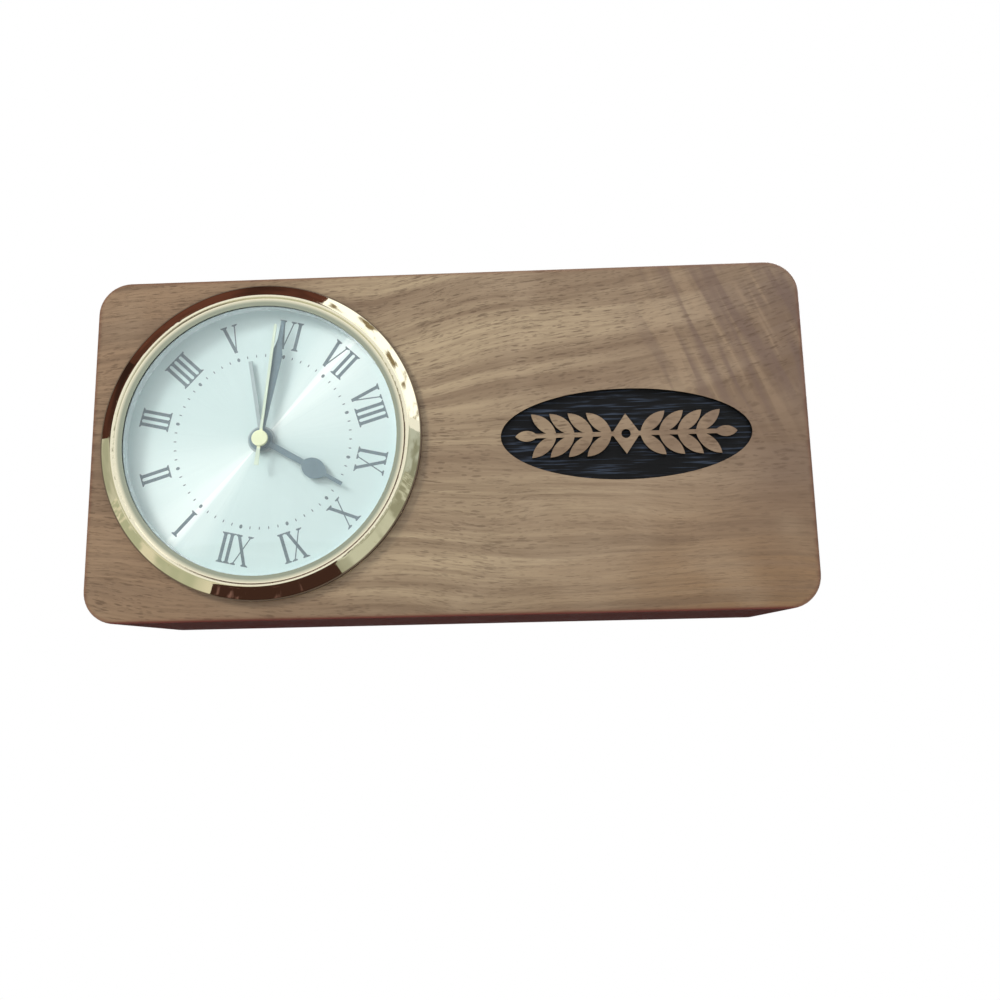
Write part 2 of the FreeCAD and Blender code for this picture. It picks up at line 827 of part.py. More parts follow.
def make_rear_cover():
    """Flat cover over the wheels, with holes for the shafts and a slot for the alarm switch."""
    outline = rounded_outline(-half_case, half_case, well_top, half_case, housing_corner_radius)
    cover = prism(outline, case_back, cover_back)
    shaft_hole = knob_shaft_radius + sliding_gap
    tools = [cylinder(shaft_hole, case_back - overrun, cover_back + overrun, place)
             for place in (time_set_place, alarm_set_place)]
    tools += [cylinder(case_screw_radius + sliding_gap, case_back - overrun, cover_back + overrun, place)
              for place in boss_places]
    half_slot = switch_stem_width / 2 + sliding_gap
    slot_bottom = switch_v - switch_stem_length / 2 - sliding_gap
    slot_top = switch_v + switch_stem_length / 2 + switch_travel + sliding_gap
    tools.append(box(switch_u - half_slot, switch_u + half_slot, case_back - overrun, cover_back + overrun,
                     slot_bottom, slot_top))
    return cut_all(cover, tools)


def make_main_plate():
    """Plate between the motion work and the train, with the pillars, posts and minute wheel stud."""
    margin = sliding_gap
    outline = rounded_outline(-inner_half + margin, inner_half - margin, -partition_below_centre + margin,
                              inner_half - margin, housing_corner_radius - housing_wall)
    plate = prism(outline, plate_front, plate_back)
    pieces = [plate]
    pieces += [cylinder(pillar_radius, plate_back, bridge_front, place) for place in pillar_places]
    for place in board_post_places:
        pieces.append(cylinder(board_post_radius, plate_back, board_front, place))
        pieces.append(cylinder(board_pin_radius, board_front, board_back, place))
    pieces.append(cylinder(stud_radius(), hour_layer, plate_front, minute_place))
    plate = joined(pieces)
    boss_hole = boss_shoulder_radius + running_gap
    pivot_hole = arbor_radius + running_gap
    shaft_hole = knob_shaft_radius + running_gap
    reach = overrun / 2
    tools = [cylinder(boss_hole, plate_front - reach, plate_back + reach, place) for place in boss_places]
    tools += [cylinder(pivot_hole, plate_front - reach, plate_back + reach, place)
              for place in (third_place, intermediate_place, rotor_place)]
    tools += [cylinder(shaft_hole, plate_front - reach, plate_back + reach, place)
              for place in (time_set_place, alarm_set_place)]
    tools.append(cylinder(cannon_radius + running_gap, plate_front - reach, plate_back + reach))
    tools += [cylinder(pillar_screw_radius + seat_gap, bridge_front - pillar_screw_length,
                       bridge_front + reach, place) for place in pillar_places]
    return cut_all(plate, tools)


def stud_radius():
    """Stud of the minute wheel, inside the root of its pinion."""
    root = hour_module * (minute_pinion_teeth / 2 - tooth_dedendum_share)
    return root * stud_share


def make_train_bridge():
    outline = rounded_outline(bridge_left, bridge_right, bridge_bottom, bridge_top, bridge_corner_radius)
    bridge = prism(outline, bridge_front, bridge_back)
    pivot_hole = arbor_radius + running_gap
    tools = [cylinder(pivot_hole, bridge_front - overrun, bridge_back + overrun, place)
             for place in (third_place, intermediate_place, rotor_place)]
    tools.append(cylinder(second_arbor_radius + running_gap, bridge_front - overrun, bridge_back + overrun))
    tools.append(cylinder(knob_shaft_radius + sliding_gap, bridge_front - overrun, bridge_back + overrun,
                          alarm_set_place))
    tools += [cylinder(pillar_screw_radius + sliding_gap, bridge_front - overrun, bridge_back + overrun,
                       place) for place in pillar_places]
    return cut_all(bridge, tools)


# Wheels of the train

train_phases = {}


def find_phases():
    """Tooth phases at rest, worked out from mesh to mesh."""
    phases = train_phases
    for name in ("second", "intermediate", "second_pinion", "third_pinion", "cannon", "minute_pinion",
                 "alarm"):
        phases[name] = 0
    phases["intermediate_pinion"] = mesh_phase(phases["second"], second_teeth, intermediate_pinion_teeth,
                                               intermediate_angle)
    phases["rotor"] = mesh_phase(phases["intermediate"], intermediate_teeth, rotor_teeth, rotor_angle)
    phases["third"] = mesh_phase(phases["second_pinion"], second_pinion_teeth, third_teeth, third_angle)
    phases["centre"] = mesh_phase(phases["third_pinion"], third_pinion_teeth, centre_teeth,
                                  third_angle + half_turn)
    phases["minute"] = mesh_phase(phases["cannon"], cannon_teeth, minute_teeth, minute_wheel_angle)
    phases["hour"] = mesh_phase(phases["minute_pinion"], minute_pinion_teeth, hour_teeth,
                                minute_wheel_angle + half_turn)
    phases["time_set"] = mesh_phase(phases["minute"], minute_teeth, time_set_teeth, time_set_angle)
    phases["alarm_set"] = mesh_phase(phases["alarm"], alarm_teeth, alarm_set_teeth, alarm_set_angle)


def arbor(front, back, radius, place=(0, 0)):
    return cylinder(radius, front, back, place)


def make_rotor():
    """Moulded pinion and arbor of the stepping motor's rotor."""
    pinion = gear(rotor_teeth, rotor_module, intermediate_layer, intermediate_layer + wheel_thickness,
                  rotor_place, train_phases["rotor"])
    return joined([pinion, arbor(plate_front, bridge_back, arbor_radius, rotor_place)])


def make_rotor_magnet():
    return ring(rotor_magnet_radius, arbor_radius + seat_gap, stator_front - magnet_overhang,
                stator_back + magnet_overhang, rotor_place)


def make_intermediate_wheel():
    wheel = gear(intermediate_teeth, rotor_module, intermediate_layer, intermediate_layer + wheel_thickness,
                 intermediate_place, train_phases["intermediate"])
    pinion = gear(intermediate_pinion_teeth, second_module, second_layer, intermediate_layer,
                  intermediate_place, train_phases["intermediate_pinion"])
    return joined([wheel, pinion, arbor(plate_front, bridge_back, arbor_radius, intermediate_place)])


def make_second_wheel():
    """Wheel, pinion and the long arbor that carries the second hand."""
    wheel = gear(second_teeth, second_module, second_layer, second_layer + wheel_thickness,
                 phase=train_phases["second"])
    pinion = gear(second_pinion_teeth, third_module, third_layer, second_layer,
                  phase=train_phases["second_pinion"])
    hand_arbor = arbor(second_blade_back - blade_thickness, bridge_back, second_arbor_radius)
    return joined([wheel, pinion, hand_arbor])


def make_third_wheel():
    wheel = gear(third_teeth, third_module, third_layer, third_layer + wheel_thickness, third_place,
                 train_phases["third"])
    pinion = gear(third_pinion_teeth, centre_module, centre_layer, third_layer, third_place,
                  train_phases["third_pinion"])
    return joined([wheel, pinion, arbor(plate_front, bridge_back, arbor_radius, third_place)])


def make_centre_wheel():
    """Wheel that grips the cannon pinion's tube by friction."""
    wheel = gear(centre_teeth, centre_module, centre_layer, centre_layer + wheel_thickness,
                 phase=train_phases["centre"])
    return wheel.cut(cylinder(cannon_radius + seat_gap, centre_layer - overrun, centre_layer + 2 * overrun))


def make_cannon_pinion():
    """Tube that carries the minute hand, with the pinion of the motion work."""
    tube_front = minute_blade_back - blade_thickness
    tube_back = centre_layer + wheel_thickness
    pinion = gear(cannon_teeth, motion_module, cannon_layer, cannon_layer + wheel_thickness,
                  phase=train_phases["cannon"])
    tube = joined([cylinder(cannon_radius, tube_front, tube_back), pinion])
    return tube.cut(cylinder(second_arbor_radius + running_gap, tube_front - overrun, tube_back + overrun))


def make_minute_wheel():
    wheel = gear(minute_teeth, motion_module, cannon_layer, cannon_layer + wheel_thickness, minute_place,
                 train_phases["minute"])
    pinion = gear(minute_pinion_teeth, hour_module, hour_layer, cannon_layer, minute_place,
                  train_phases["minute_pinion"])
    wheel = joined([wheel, pinion])
    return wheel.cut(cylinder(stud_radius() + running_gap, hour_layer - overrun, plate_front + overrun,
                              minute_place))


def tube_wheel(teeth, module, layer, phase, outer, inner, tube_front):
    """Wheel moulded on the tube that carries a hand."""
    back = layer + wheel_thickness
    wheel = joined([gear(teeth, module, layer, back, phase=phase), cylinder(outer, tube_front, back)])
    return wheel.cut(cylinder(inner + running_gap, tube_front - overrun, back + overrun))


def make_hour_wheel():
    return tube_wheel(hour_teeth, hour_module, hour_layer, train_phases["hour"], hour_tube_radius,
                      cannon_radius, hour_blade_back - blade_thickness)


def make_alarm_wheel():
    return tube_wheel(alarm_teeth, alarm_module, alarm_layer, train_phases["alarm"], alarm_tube_radius,
                      hour_tube_radius, alarm_blade_back - blade_thickness)


def make_time_set_shaft():
    teeth = gear(time_set_teeth, motion_module, cannon_layer, cannon_layer + wheel_thickness, time_set_place,
                 train_phases["time_set"])
    return joined([teeth, arbor(cannon_layer, shaft_back, knob_shaft_radius, time_set_place)])


def make_alarm_set_shaft():
    teeth = gear(alarm_set_teeth, alarm_module, alarm_layer, alarm_layer + wheel_thickness, alarm_set_place,
                 train_phases["alarm_set"])
    return joined([teeth, arbor(alarm_layer, shaft_back, knob_shaft_radius, alarm_set_place)])


def knob(radius, place):
    """Round knob with grooves along its side and a blind socket for its shaft."""
    pitch = 360 / knob_groove_count
    half_groove = pitch * knob_groove_width_share / 2
    root = radius - knob_groove_depth
    points = []
    for index in range(knob_groove_count):
        middle = index * pitch
        points.append(clock_point(root, middle - half_groove))
        points.append(clock_point(root, middle + half_groove))
        points.append(clock_point(radius, middle + half_groove))
        points.append(clock_point(radius, middle + pitch - half_groove))
    body = prism(polygon([offset(place, point) for point in points]), knob_front, knob_back)
    socket = cylinder(knob_shaft_radius + seat_gap, knob_front - overrun, shaft_back + seat_gap, place)
    return body.cut(socket)


# Motor

def make_stator():
    """Laminated frame: two legs up from the rotor to the core that runs through the coil."""
    bar_bottom = rotor_place[1]
    bar_top = bar_bottom + stator_bar_height
    frame = box(stator_left, stator_right, stator_front, stator_back, bar_bottom, stator_top)
    window = box(stator_left + stator_leg_width, stator_right - stator_leg_width, stator_front - overrun,
                 stator_back + overrun, bar_top, stator_top - core_height)
    pole = cylinder(rotor_magnet_radius + stator_hole_gap + stator_pole_wall, stator_front, stator_back,
                    rotor_place)
    hole = cylinder(rotor_magnet_radius + stator_hole_gap, stator_front - overrun, stator_back + overrun,
                    rotor_place)
    pillar_hole = cylinder(pillar_radius + sliding_gap, stator_front - overrun, stator_back + overrun,
                           pillar_places[1])
    return cut_all(joined([frame.cut(window), pole]), [hole, pillar_hole])


def coil_span():
    """Left and right ends of the bobbin, between the stator's legs."""
    return (stator_left + stator_leg_width + sliding_gap, stator_right - stator_leg_width - sliding_gap)


def along_core(radius, left, right):
    """Round bar along the stator's core."""
    core_v = stator_top - core_height / 2
    core_depth = (stator_front + stator_back) / 2
    base = FreeCAD.Vector(left, core_depth, core_v)
    return Part.makeCylinder(radius, right - left, base, FreeCAD.Vector(1, 0, 0))


def core_room(gap):
    left, right = coil_span()
    return box(left - overrun, right + overrun, stator_front - gap, stator_back + gap,
               stator_top - core_height - gap, stator_top + gap)


def make_bobbin():
    left, right = coil_span()
    tube_radius = core_height / 2 + 2 * bobbin_tube_wall
    pieces = [
        along_core(tube_radius, left, right),
        along_core(bobbin_flange_radius, left, left + bobbin_flange_thickness),
        along_core(bobbin_flange_radius, right - bobbin_flange_thickness, right),
    ]
    return joined(pieces).cut(core_room(running_gap))


def make_coil():
    left, right = coil_span()
    tube_radius = core_height / 2 + 2 * bobbin_tube_wall
    first = left + bobbin_flange_thickness
    last = right - bobbin_flange_thickness
    winding = along_core(coil_radius, first, last)
    return winding.cut(along_core(tube_radius, first - overrun, last + overrun))


# Electrics

def make_circuit_board():
    board = box(board_left, board_right, board_front, board_back, board_bottom, board_top)
    tools = [cylinder(boss_shoulder_radius + sliding_gap, board_front - overrun, board_back + overrun, place)
             for place in boss_places]
    tools += [cylinder(board_pin_radius + seat_gap, board_front - overrun, board_back + overrun, place)
              for place in board_post_places]
    return cut_all(board, tools)


def make_clock_chip():
    middle = ((board_left + board_right) / 2, (board_bottom + board_top) / 2)
    return cylinder(chip_radius, board_front - chip_height, board_front, middle)


def make_quartz_resonator():
    """Small can that lies along the upper edge of the board."""
    left = board_left + 2 * board_post_inset
    base = FreeCAD.Vector(left, board_front - resonator_radius, board_top - 2 * resonator_radius)
    return Part.makeCylinder(resonator_radius, resonator_length, base, FreeCAD.Vector(1, 0, 0))


def make_contact_strip():
    """Leaf from the board to where the alarm switch's foot slides under it, clear of the stem."""
    middle = switch_v + switch_travel
    right = switch_u - switch_stem_width / 2 - sliding_gap
    return box(board_right - strip_solder_length, right, board_back, board_back + strip_thickness,
               middle - strip_width / 2, middle + strip_width / 2)


def make_alarm_switch():
    """Slider: a foot under the cover, a stem through the slot and a ridged thumb piece."""
    half_width = switch_stem_width / 2
    half_length = switch_stem_length / 2
    foot_back = case_back - board_gap
    foot = box(switch_u - half_width - switch_foot_margin, switch_u + half_width + switch_foot_margin,
               foot_back - switch_foot_thickness, foot_back,
               switch_v - half_length - switch_foot_margin, switch_v + half_length + switch_foot_margin)
    thumb_front = cover_back + sliding_gap
    thumb_back = thumb_front + switch_thumb_height
    stem = box(switch_u - half_width, switch_u + half_width, foot_back, thumb_front,
               switch_v - half_length, switch_v + half_length)
    thumb = box(switch_u - switch_thumb_width / 2, switch_u + switch_thumb_width / 2, thumb_front, thumb_back,
                switch_v - switch_thumb_length / 2, switch_v + switch_thumb_length / 2)
    ridge_pitch = switch_thumb_length / (2 * switch_ridge_count + 1)
    tools = []
    for index in range(switch_ridge_count):
        bottom = switch_v - switch_thumb_length / 2 + (2 * index + 1) * ridge_pitch
        tools.append(box(switch_u - switch_thumb_width, switch_u + switch_thumb_width,
                         thumb_back - switch_ridge_depth, thumb_back + overrun, bottom, bottom + ridge_pitch))
    return joined([foot, stem, cut_all(thumb, tools)])


def make_buzzer_disc():
    front = case_front + housing_wall + buzzer_ring_height
    return cylinder(buzzer_radius, front, front + buzzer_thickness, (buzzer_u, buzzer_v))


def along_battery(radius, left, right):
    base = FreeCAD.Vector(left, battery_depth, battery_v)
    return Part.makeCylinder(radius, right - left, base, FreeCAD.Vector(1, 0, 0))


def make_battery():
    can = along_battery(battery_radius, battery_left, battery_right)
    can = can.makeFillet(battery_easing, [edge for edge in can.Edges if len(edge.Vertexes) == 1])
    return joined([can, along_battery(battery_nub_radius, battery_right - overrun,
                                      battery_right + battery_nub_length)])


def make_positive_contact():
    return box(inner_half - contact_thickness, inner_half,
               battery_depth - contact_height / 2, battery_depth + contact_height / 2,
               battery_v - contact_width / 2, battery_v + contact_width / 2)


def make_negative_contact():
    """Plate on the wall with a folded leaf that presses on the battery's flat end."""
    wall = -inner_half
    bottom = battery_v - contact_width / 2
    top = battery_v + contact_width / 2
    reach = battery_left
    plate = box(wall, wall + contact_thickness, battery_depth - contact_height / 2,
                battery_depth + contact_height / 2, bottom, top)
    points = [
        (wall + contact_thickness, bottom), (reach, battery_v), (wall + contact_thickness, top),
        (wall + contact_thickness, top - 2 * contact_thickness), (reach - contact_thickness, battery_v),
        (wall + contact_thickness, bottom + 2 * contact_thickness),
    ]
    half_leaf = contact_height / 4
    leaf_spring = prism(polygon(points), battery_depth - half_leaf, battery_depth + half_leaf)
    return joined([plate, leaf_spring])


# Screws

def slot_tool(radius, face, step, place):
    """Slot across a screw head whose face is at this depth."""
    return box(place[0] - radius, place[0] + radius, min(face, face + step), max(face, face + step),
               place[1] - screw_slot_width / 2, place[1] + screw_slot_width / 2)


def make_case_screws():
    """Countersunk screws from the dial side, through the cup into the bosses."""
    screws = []
    for place in boss_places:
        head = cone(case_screw_head_radius, case_screw_radius, dial_back, dial_back + case_screw_head_height,
                    place)
        shank = cylinder(case_screw_radius, dial_back, dial_back + case_screw_length, place)
        slot = slot_tool(case_screw_head_radius, dial_back, screw_slot_depth, place)
        screws.append(joined([head, shank]).cut(slot))
    return Part.makeCompound(screws)


def rear_screws(places, face, radius, length, head_radius, head_height):
    """Flat-headed screws driven from the rear onto a face."""
    screws = []
    for place in places:
        head_back = face + head_height
        head = cylinder(head_radius, face, head_back, place)
        shank = cylinder(radius, face - length, head_back, place)
        slot = slot_tool(head_radius, head_back, -screw_slot_depth, place)
        screws.append(joined([head, shank]).cut(slot))
    return Part.makeCompound(screws)


def make_cover_screws():
    return rear_screws(boss_places, cover_back, case_screw_radius, cover_screw_length,
                       cover_screw_head_radius, cover_screw_head_height)


def make_bridge_screws():
    return rear_screws(pillar_places, bridge_back, pillar_screw_radius, pillar_screw_length,
                       pillar_screw_head_radius, pillar_screw_head_height)


def make_parts():
    find_phases()
    parts = {
        "block": make_block(),
        "bezel": seated(make_bezel()),
        "crystal": seated(make_crystal()),
        "case_cup": seated(make_cup()),
        "friction_band": seated(make_friction_band()),
        "reflector_ring": seated(make_reflector_ring()),
        "dial": seated(make_dial()),
        "hour_hand": pointed(make_hour_hand(), hour_hand_angle),
        "minute_hand": pointed(make_minute_hand(), minute_hand_angle),
        "second_hand": pointed(make_second_hand(), second_hand_angle),
        "alarm_hand": pointed(make_alarm_hand(), alarm_hand_angle),
        "movement_housing": seated(make_housing()),
        "rear_cover": seated(make_rear_cover()),
        "main_plate": seated(make_main_plate()),
        "train_bridge": seated(make_train_bridge()),
        "rotor_pinion": seated(make_rotor()),
        "rotor_magnet": seated(make_rotor_magnet()),
        "intermediate_wheel": seated(make_intermediate_wheel()),
        "second_wheel": seated(make_second_wheel()),
        "third_wheel": seated(make_third_wheel()),
        "centre_wheel": seated(make_centre_wheel()),
        "cannon_pinion": seated(make_cannon_pinion()),
        "minute_wheel": seated(make_minute_wheel()),
        "hour_wheel": seated(make_hour_wheel()),
        "alarm_wheel": seated(make_alarm_wheel()),
        "time_set_shaft": seated(make_time_set_shaft()),
        "alarm_set_shaft": seated(make_alarm_set_shaft()),
        "time_set_knob": seated(knob(time_knob_radius, time_set_place)),
        "alarm_set_knob": seated(knob(alarm_knob_radius, alarm_set_place)),
        "stator": seated(make_stator()),
        "coil_bobbin": seated(make_bobbin()),
        "coil_winding": seated(make_coil()),
        "circuit_board": seated(make_circuit_board()),
        "clock_chip": seated(make_clock_chip()),
        "quartz_resonator": seated(make_quartz_resonator()),
        "alarm_contact_strip": seated(make_contact_strip()),
        "alarm_switch": seated(make_alarm_switch()),
        "buzzer_disc": seated(make_buzzer_disc()),
        "battery": seated(make_battery()),
        "positive_contact": seated(make_positive_contact()),
        "negative_contact": seated(make_negative_contact()),
        "case_screws": seated(make_case_screws()),
        "cover_screws": seated(make_cover_screws()),
        "bridge_screws": seated(make_bridge_screws()),
    }
    return parts


os.makedirs("parts", exist_ok=True)
for name, shape in make_parts().items():
    print(name, "solids", len(shape.Solids), "valid", shape.isValid(), "volume", round(shape.Volume, 2))
    shape.exportStep("parts/" + name + ".step")
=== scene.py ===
"""A walnut desk clock: a solid block that holds a press-in alarm clock and a carved, painted
oval panel. Lengths are in metres, +Z is up, and the clock faces -Y."""
import math

import bpy
from mathutils import Matrix, Vector, noise


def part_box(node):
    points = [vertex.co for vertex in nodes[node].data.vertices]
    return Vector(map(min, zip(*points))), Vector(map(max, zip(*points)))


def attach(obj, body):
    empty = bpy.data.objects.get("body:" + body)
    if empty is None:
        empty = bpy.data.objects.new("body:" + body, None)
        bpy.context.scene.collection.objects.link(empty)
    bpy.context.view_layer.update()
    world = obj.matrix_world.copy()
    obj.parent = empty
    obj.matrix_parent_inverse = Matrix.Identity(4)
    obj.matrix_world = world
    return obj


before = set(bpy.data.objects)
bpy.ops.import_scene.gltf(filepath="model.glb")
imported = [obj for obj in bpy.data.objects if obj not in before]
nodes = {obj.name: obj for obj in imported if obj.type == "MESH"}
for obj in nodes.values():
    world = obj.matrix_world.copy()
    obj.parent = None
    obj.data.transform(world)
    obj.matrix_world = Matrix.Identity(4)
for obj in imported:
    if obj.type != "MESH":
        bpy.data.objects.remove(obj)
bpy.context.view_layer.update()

MM = 0.001


# The block is one piece of black walnut, planed, bored right through for the clock and rubbed
# with a satin varnish. Its grain runs along X. The figure is solid: face, edges and end grain
# are cut from the same rings, fibres and pores.
def srgb(red, green, blue):
    """A colour as a paint chart gives it, 0 to 255, in the linear light that shaders want."""
    linear = []
    for level in (red, green, blue):
        level /= 255
        linear.append(level / 12.92 if level <= 0.04045 else ((level + 0.055) / 1.055) ** 2.4)
    return (*linear, 1.0)


class Finish:
    """A material with its shader, and the few ways in which its nodes are wired."""

    def __init__(self, name, **settings):
        self.material = bpy.data.materials.new(name)
        self.material.use_nodes = True
        self.tree = self.material.node_tree
        self.shader = self.tree.nodes["Principled BSDF"]
        self.output = self.tree.nodes["Material Output"]
        self.place = self.add("ShaderNodeTexCoord").outputs["Object"]
        self.set(**settings)

    def add(self, kind, wires=None, **settings):
        """A new node of that kind, with its inputs wired or set."""
        made = self.tree.nodes.new(kind)
        for name, value in settings.items():
            setattr(made, name, value)
        self.wire(made, wires or {})
        return made

    def wire(self, made, wires):
        """Links each socket given, and puts each plain value on its own input."""
        for socket, value in wires.items():
            if isinstance(value, bpy.types.NodeSocket):
                self.tree.links.new(value, made.inputs[socket])
            else:
                made.inputs[socket].default_value = value

    def set(self, **sockets):
        """Wires the shader's own sockets, named with _ for each space."""
        self.wire(self.shader, {name.replace("_", " "): value for name, value in sockets.items()})

    def math(self, operation, first, second=0.0):
        return self.add("ShaderNodeMath", {0: first, 1: second}, operation=operation).outputs[0]

    def times(self, first, second):
        return self.math("MULTIPLY", first, second)

    def plus(self, first, second):
        return self.math("ADD", first, second)

    def minus(self, first, second):
        return self.math("SUBTRACT", first, second)

    def square(self, number):
        return self.math("POWER", number, 2.0)

    def span(self, amount, low, high, bottom=0.0, top=1.0):
        """Amount between low and high, eased, as a number from bottom to top."""
        wires = {"Value": amount, "From Min": low, "From Max": high,
                 "To Min": bottom, "To Max": top}
        return self.add("ShaderNodeMapRange", wires, interpolation_type="SMOOTHSTEP").outputs[0]

    def stretch(self, place, x, y, z):
        """The place counted in cells, so many to a metre along each axis."""
        wires = {0: place, 1: (x, y, z)}
        return self.add("ShaderNodeVectorMath", wires, operation="MULTIPLY").outputs[0]

    def cloud(self, place, scale, detail=2.0, roughness=0.5, distortion=0.0):
        """Soft noise from 0 to 1."""
        wires = {"Vector": place, "Scale": scale, "Detail": detail, "Roughness": roughness,
                 "Distortion": distortion}
        return self.add("ShaderNodeTexNoise", wires).outputs[0]

    def tint(self, amount, first, second):
        """The first colour where the amount is 0, the second where it is 1."""
        wires = {0: amount, 6: first, 7: second}
        return self.add("ShaderNodeMix", wires, data_type="RGBA").outputs[2]

    def split(self, place):
        return self.add("ShaderNodeSeparateXYZ", {0: place}).outputs

    def join(self, x, y, z):
        return self.add("ShaderNodeCombineXYZ", {0: x, 1: y, 2: z}).outputs[0]

    def bump(self, height, depth, strength):
        wires = {"Height": height, "Distance": depth, "Strength": strength}
        return self.add("ShaderNodeBump", wires).outputs[0]

    def dress(self, *names):
        """Puts the finish on CAD nodes, in the slots that they already have."""
        for name in names:
            for slot in nodes[name].material_slots:
                slot.material = self.material


block_half_long, block_half_high, corner_radius, face_y = 101.6 * MM, 49.75 * MM, 9.3 * MM, -26 * MM
walnut = Finish("satin_walnut")
x, y, z = walnut.split(walnut.place)
wander = walnut.cloud(walnut.stretch(walnut.place, 6, 14, 14), 1.0, 2.0)
wave = walnut.cloud(walnut.stretch(walnut.place, 28, 60, 60), 1.0, 1.0)
# The grain climbs to the right over the upper middle of the face.
climb_slope = -0.22
climb_run = walnut.math("MAXIMUM", walnut.plus(x, 20 * MM), 0.0)
climb_high = walnut.span(z, 35 * MM, 85 * MM)
climb = walnut.times(walnut.times(climb_run, climb_slope), climb_high)
lift = walnut.plus(climb, walnut.times(wander, 0.030))
lift = walnut.plus(lift, walnut.times(wave, 0.0035))
grain_z = walnut.plus(z, lift)
grain_y = walnut.plus(y, walnut.times(wave, 0.004))
grain = walnut.join(x, grain_y, grain_z)
# Rings lie round the pith, which was behind the block and below it.
pith_y, pith_z = 100 * MM, -130 * MM
ring_y = walnut.square(walnut.minus(grain_y, pith_y))
ring_z = walnut.square(walnut.minus(grain_z, pith_z))
ring = walnut.math("SQRT", walnut.plus(ring_y, ring_z))
ring_place = walnut.join(x, ring, y)
wide_ring = walnut.cloud(walnut.stretch(ring_place, 5, 95, 3), 1.0, 2.0, 0.6)
fine_ring = walnut.cloud(walnut.stretch(ring_place, 9, 420, 6), 1.0, 2.0, 0.6)
fibre = walnut.cloud(walnut.stretch(grain, 60, 1900, 1900), 1.0, 3.0, 0.6)
blotch = walnut.cloud(walnut.place, 34.0, 2.0)
# Ground colour: palest in the middle, browner to the left, and darkest at the far right.
rightward = walnut.span(walnut.plus(x, walnut.times(blotch, 0.05)), 20 * MM, 130 * MM)
ground = walnut.tint(rightward, srgb(176, 154, 123), srgb(152, 129, 105))
leftward = walnut.span(walnut.plus(x, walnut.times(blotch, 0.03)), 5 * MM, -55 * MM)
ground = walnut.tint(leftward, ground, srgb(150, 122, 94))
far_right = walnut.span(walnut.plus(x, walnut.times(blotch, 0.03)), 80 * MM, 112 * MM)
ground = walnut.tint(walnut.times(far_right, 0.8), ground, srgb(106, 84, 70))
warm_low = walnut.times(walnut.span(x, 0.0, 90 * MM), walnut.span(z, 45 * MM, 0.0))
warm_low = walnut.times(warm_low, walnut.span(wide_ring, 0.36, 0.54))
ground = walnut.tint(warm_low, ground, srgb(146, 112, 74))
ground = walnut.tint(walnut.span(wide_ring, 0.42, 0.66, 0.0, 0.65), ground, srgb(124, 100, 78))
ground = walnut.tint(walnut.span(fine_ring, 0.46, 0.68, 0.0, 0.55), ground, srgb(112, 88, 66))
ground = walnut.tint(walnut.span(blotch, 0.50, 0.7, 0.0, 0.30), ground, srgb(176, 154, 126))
ground = walnut.tint(walnut.span(fibre, 0.35, 0.75, 0.0, 0.30), ground, srgb(100, 78, 58))
# Cross figure: soft steep bands over the upper right, where the fibres once swirled.
steep, slant = 0.93, 0.37
figure_x = walnut.plus(walnut.times(x, steep), walnut.times(z, slant))
figure_z = walnut.minus(walnut.times(x, slant), walnut.times(z, steep))
figure = walnut.join(figure_x, y, figure_z)
figure = walnut.cloud(walnut.stretch(figure, 270, 40, 26), 1.0, 1.5, 0.45, 0.5)
figure_area = walnut.times(walnut.span(x, 45 * MM, 75 * MM), walnut.span(z, 40 * MM, 70 * MM))
figure_dark = walnut.times(figure_area, walnut.span(figure, 0.46, 0.64, 0.0, 0.60))
figure_pale = walnut.times(figure_area, walnut.span(figure, 0.46, 0.34, 0.0, 0.35))
ground = walnut.tint(figure_dark, ground, srgb(104, 82, 72))
ground = walnut.tint(figure_pale, ground, srgb(168, 142, 112))


def pores(finish, grain, long, wide, size, share):
    """Open pores cut lengthwise: short dark dashes along the grain, round dots on end grain."""
    wires = {"Vector": finish.stretch(grain, long, wide, wide), "Scale": 1.0}
    cells = finish.add("ShaderNodeTexVoronoi", wires)
    kept = finish.math("GREATER_THAN", finish.split(cells.outputs["Color"])[0], 1 - share)
    dash = finish.span(cells.outputs["Distance"], size, size * 0.45)
    return finish.times(dash, kept)


pore_area = walnut.cloud(walnut.stretch(walnut.place, 22, 40, 40), 1.0, 2.0)
pore_area = walnut.span(pore_area, 0.30, 0.6)
frayed = walnut.cloud(walnut.stretch(grain, 300, 2600, 2600), 1.0, 1.0)
frayed_z = walnut.plus(grain_z, walnut.times(frayed, 0.5 * MM))
torn = walnut.join(x, grain_y, frayed_z)
long_pores = pores(walnut, torn, 170, 1500, 0.34, 0.6)
short_pores = pores(walnut, torn, 380, 2600, 0.40, 0.6)
streak = walnut.cloud(walnut.stretch(grain, 110, 1750, 1750), 1.0, 4.0, 0.7)
streak = walnut.span(streak, 0.55, 0.70)
pore = walnut.math("MAXIMUM", long_pores, walnut.times(short_pores, 0.7))
pore = walnut.math("MAXIMUM", walnut.times(pore, 0.85), walnut.times(streak, 0.9))
pore = walnut.times(pore, walnut.plus(walnut.times(pore_area, 0.65), 0.35))
# The lower right is calmer, with its pores better filled.
calm = walnut.times(walnut.span(x, -20 * MM, 40 * MM), walnut.span(z, 55 * MM, 25 * MM, 0.0, 0.55))
pore = walnut.times(pore, walnut.minus(1.0, calm))
ground = walnut.tint(walnut.times(pore, 0.72), ground, srgb(80, 58, 40))
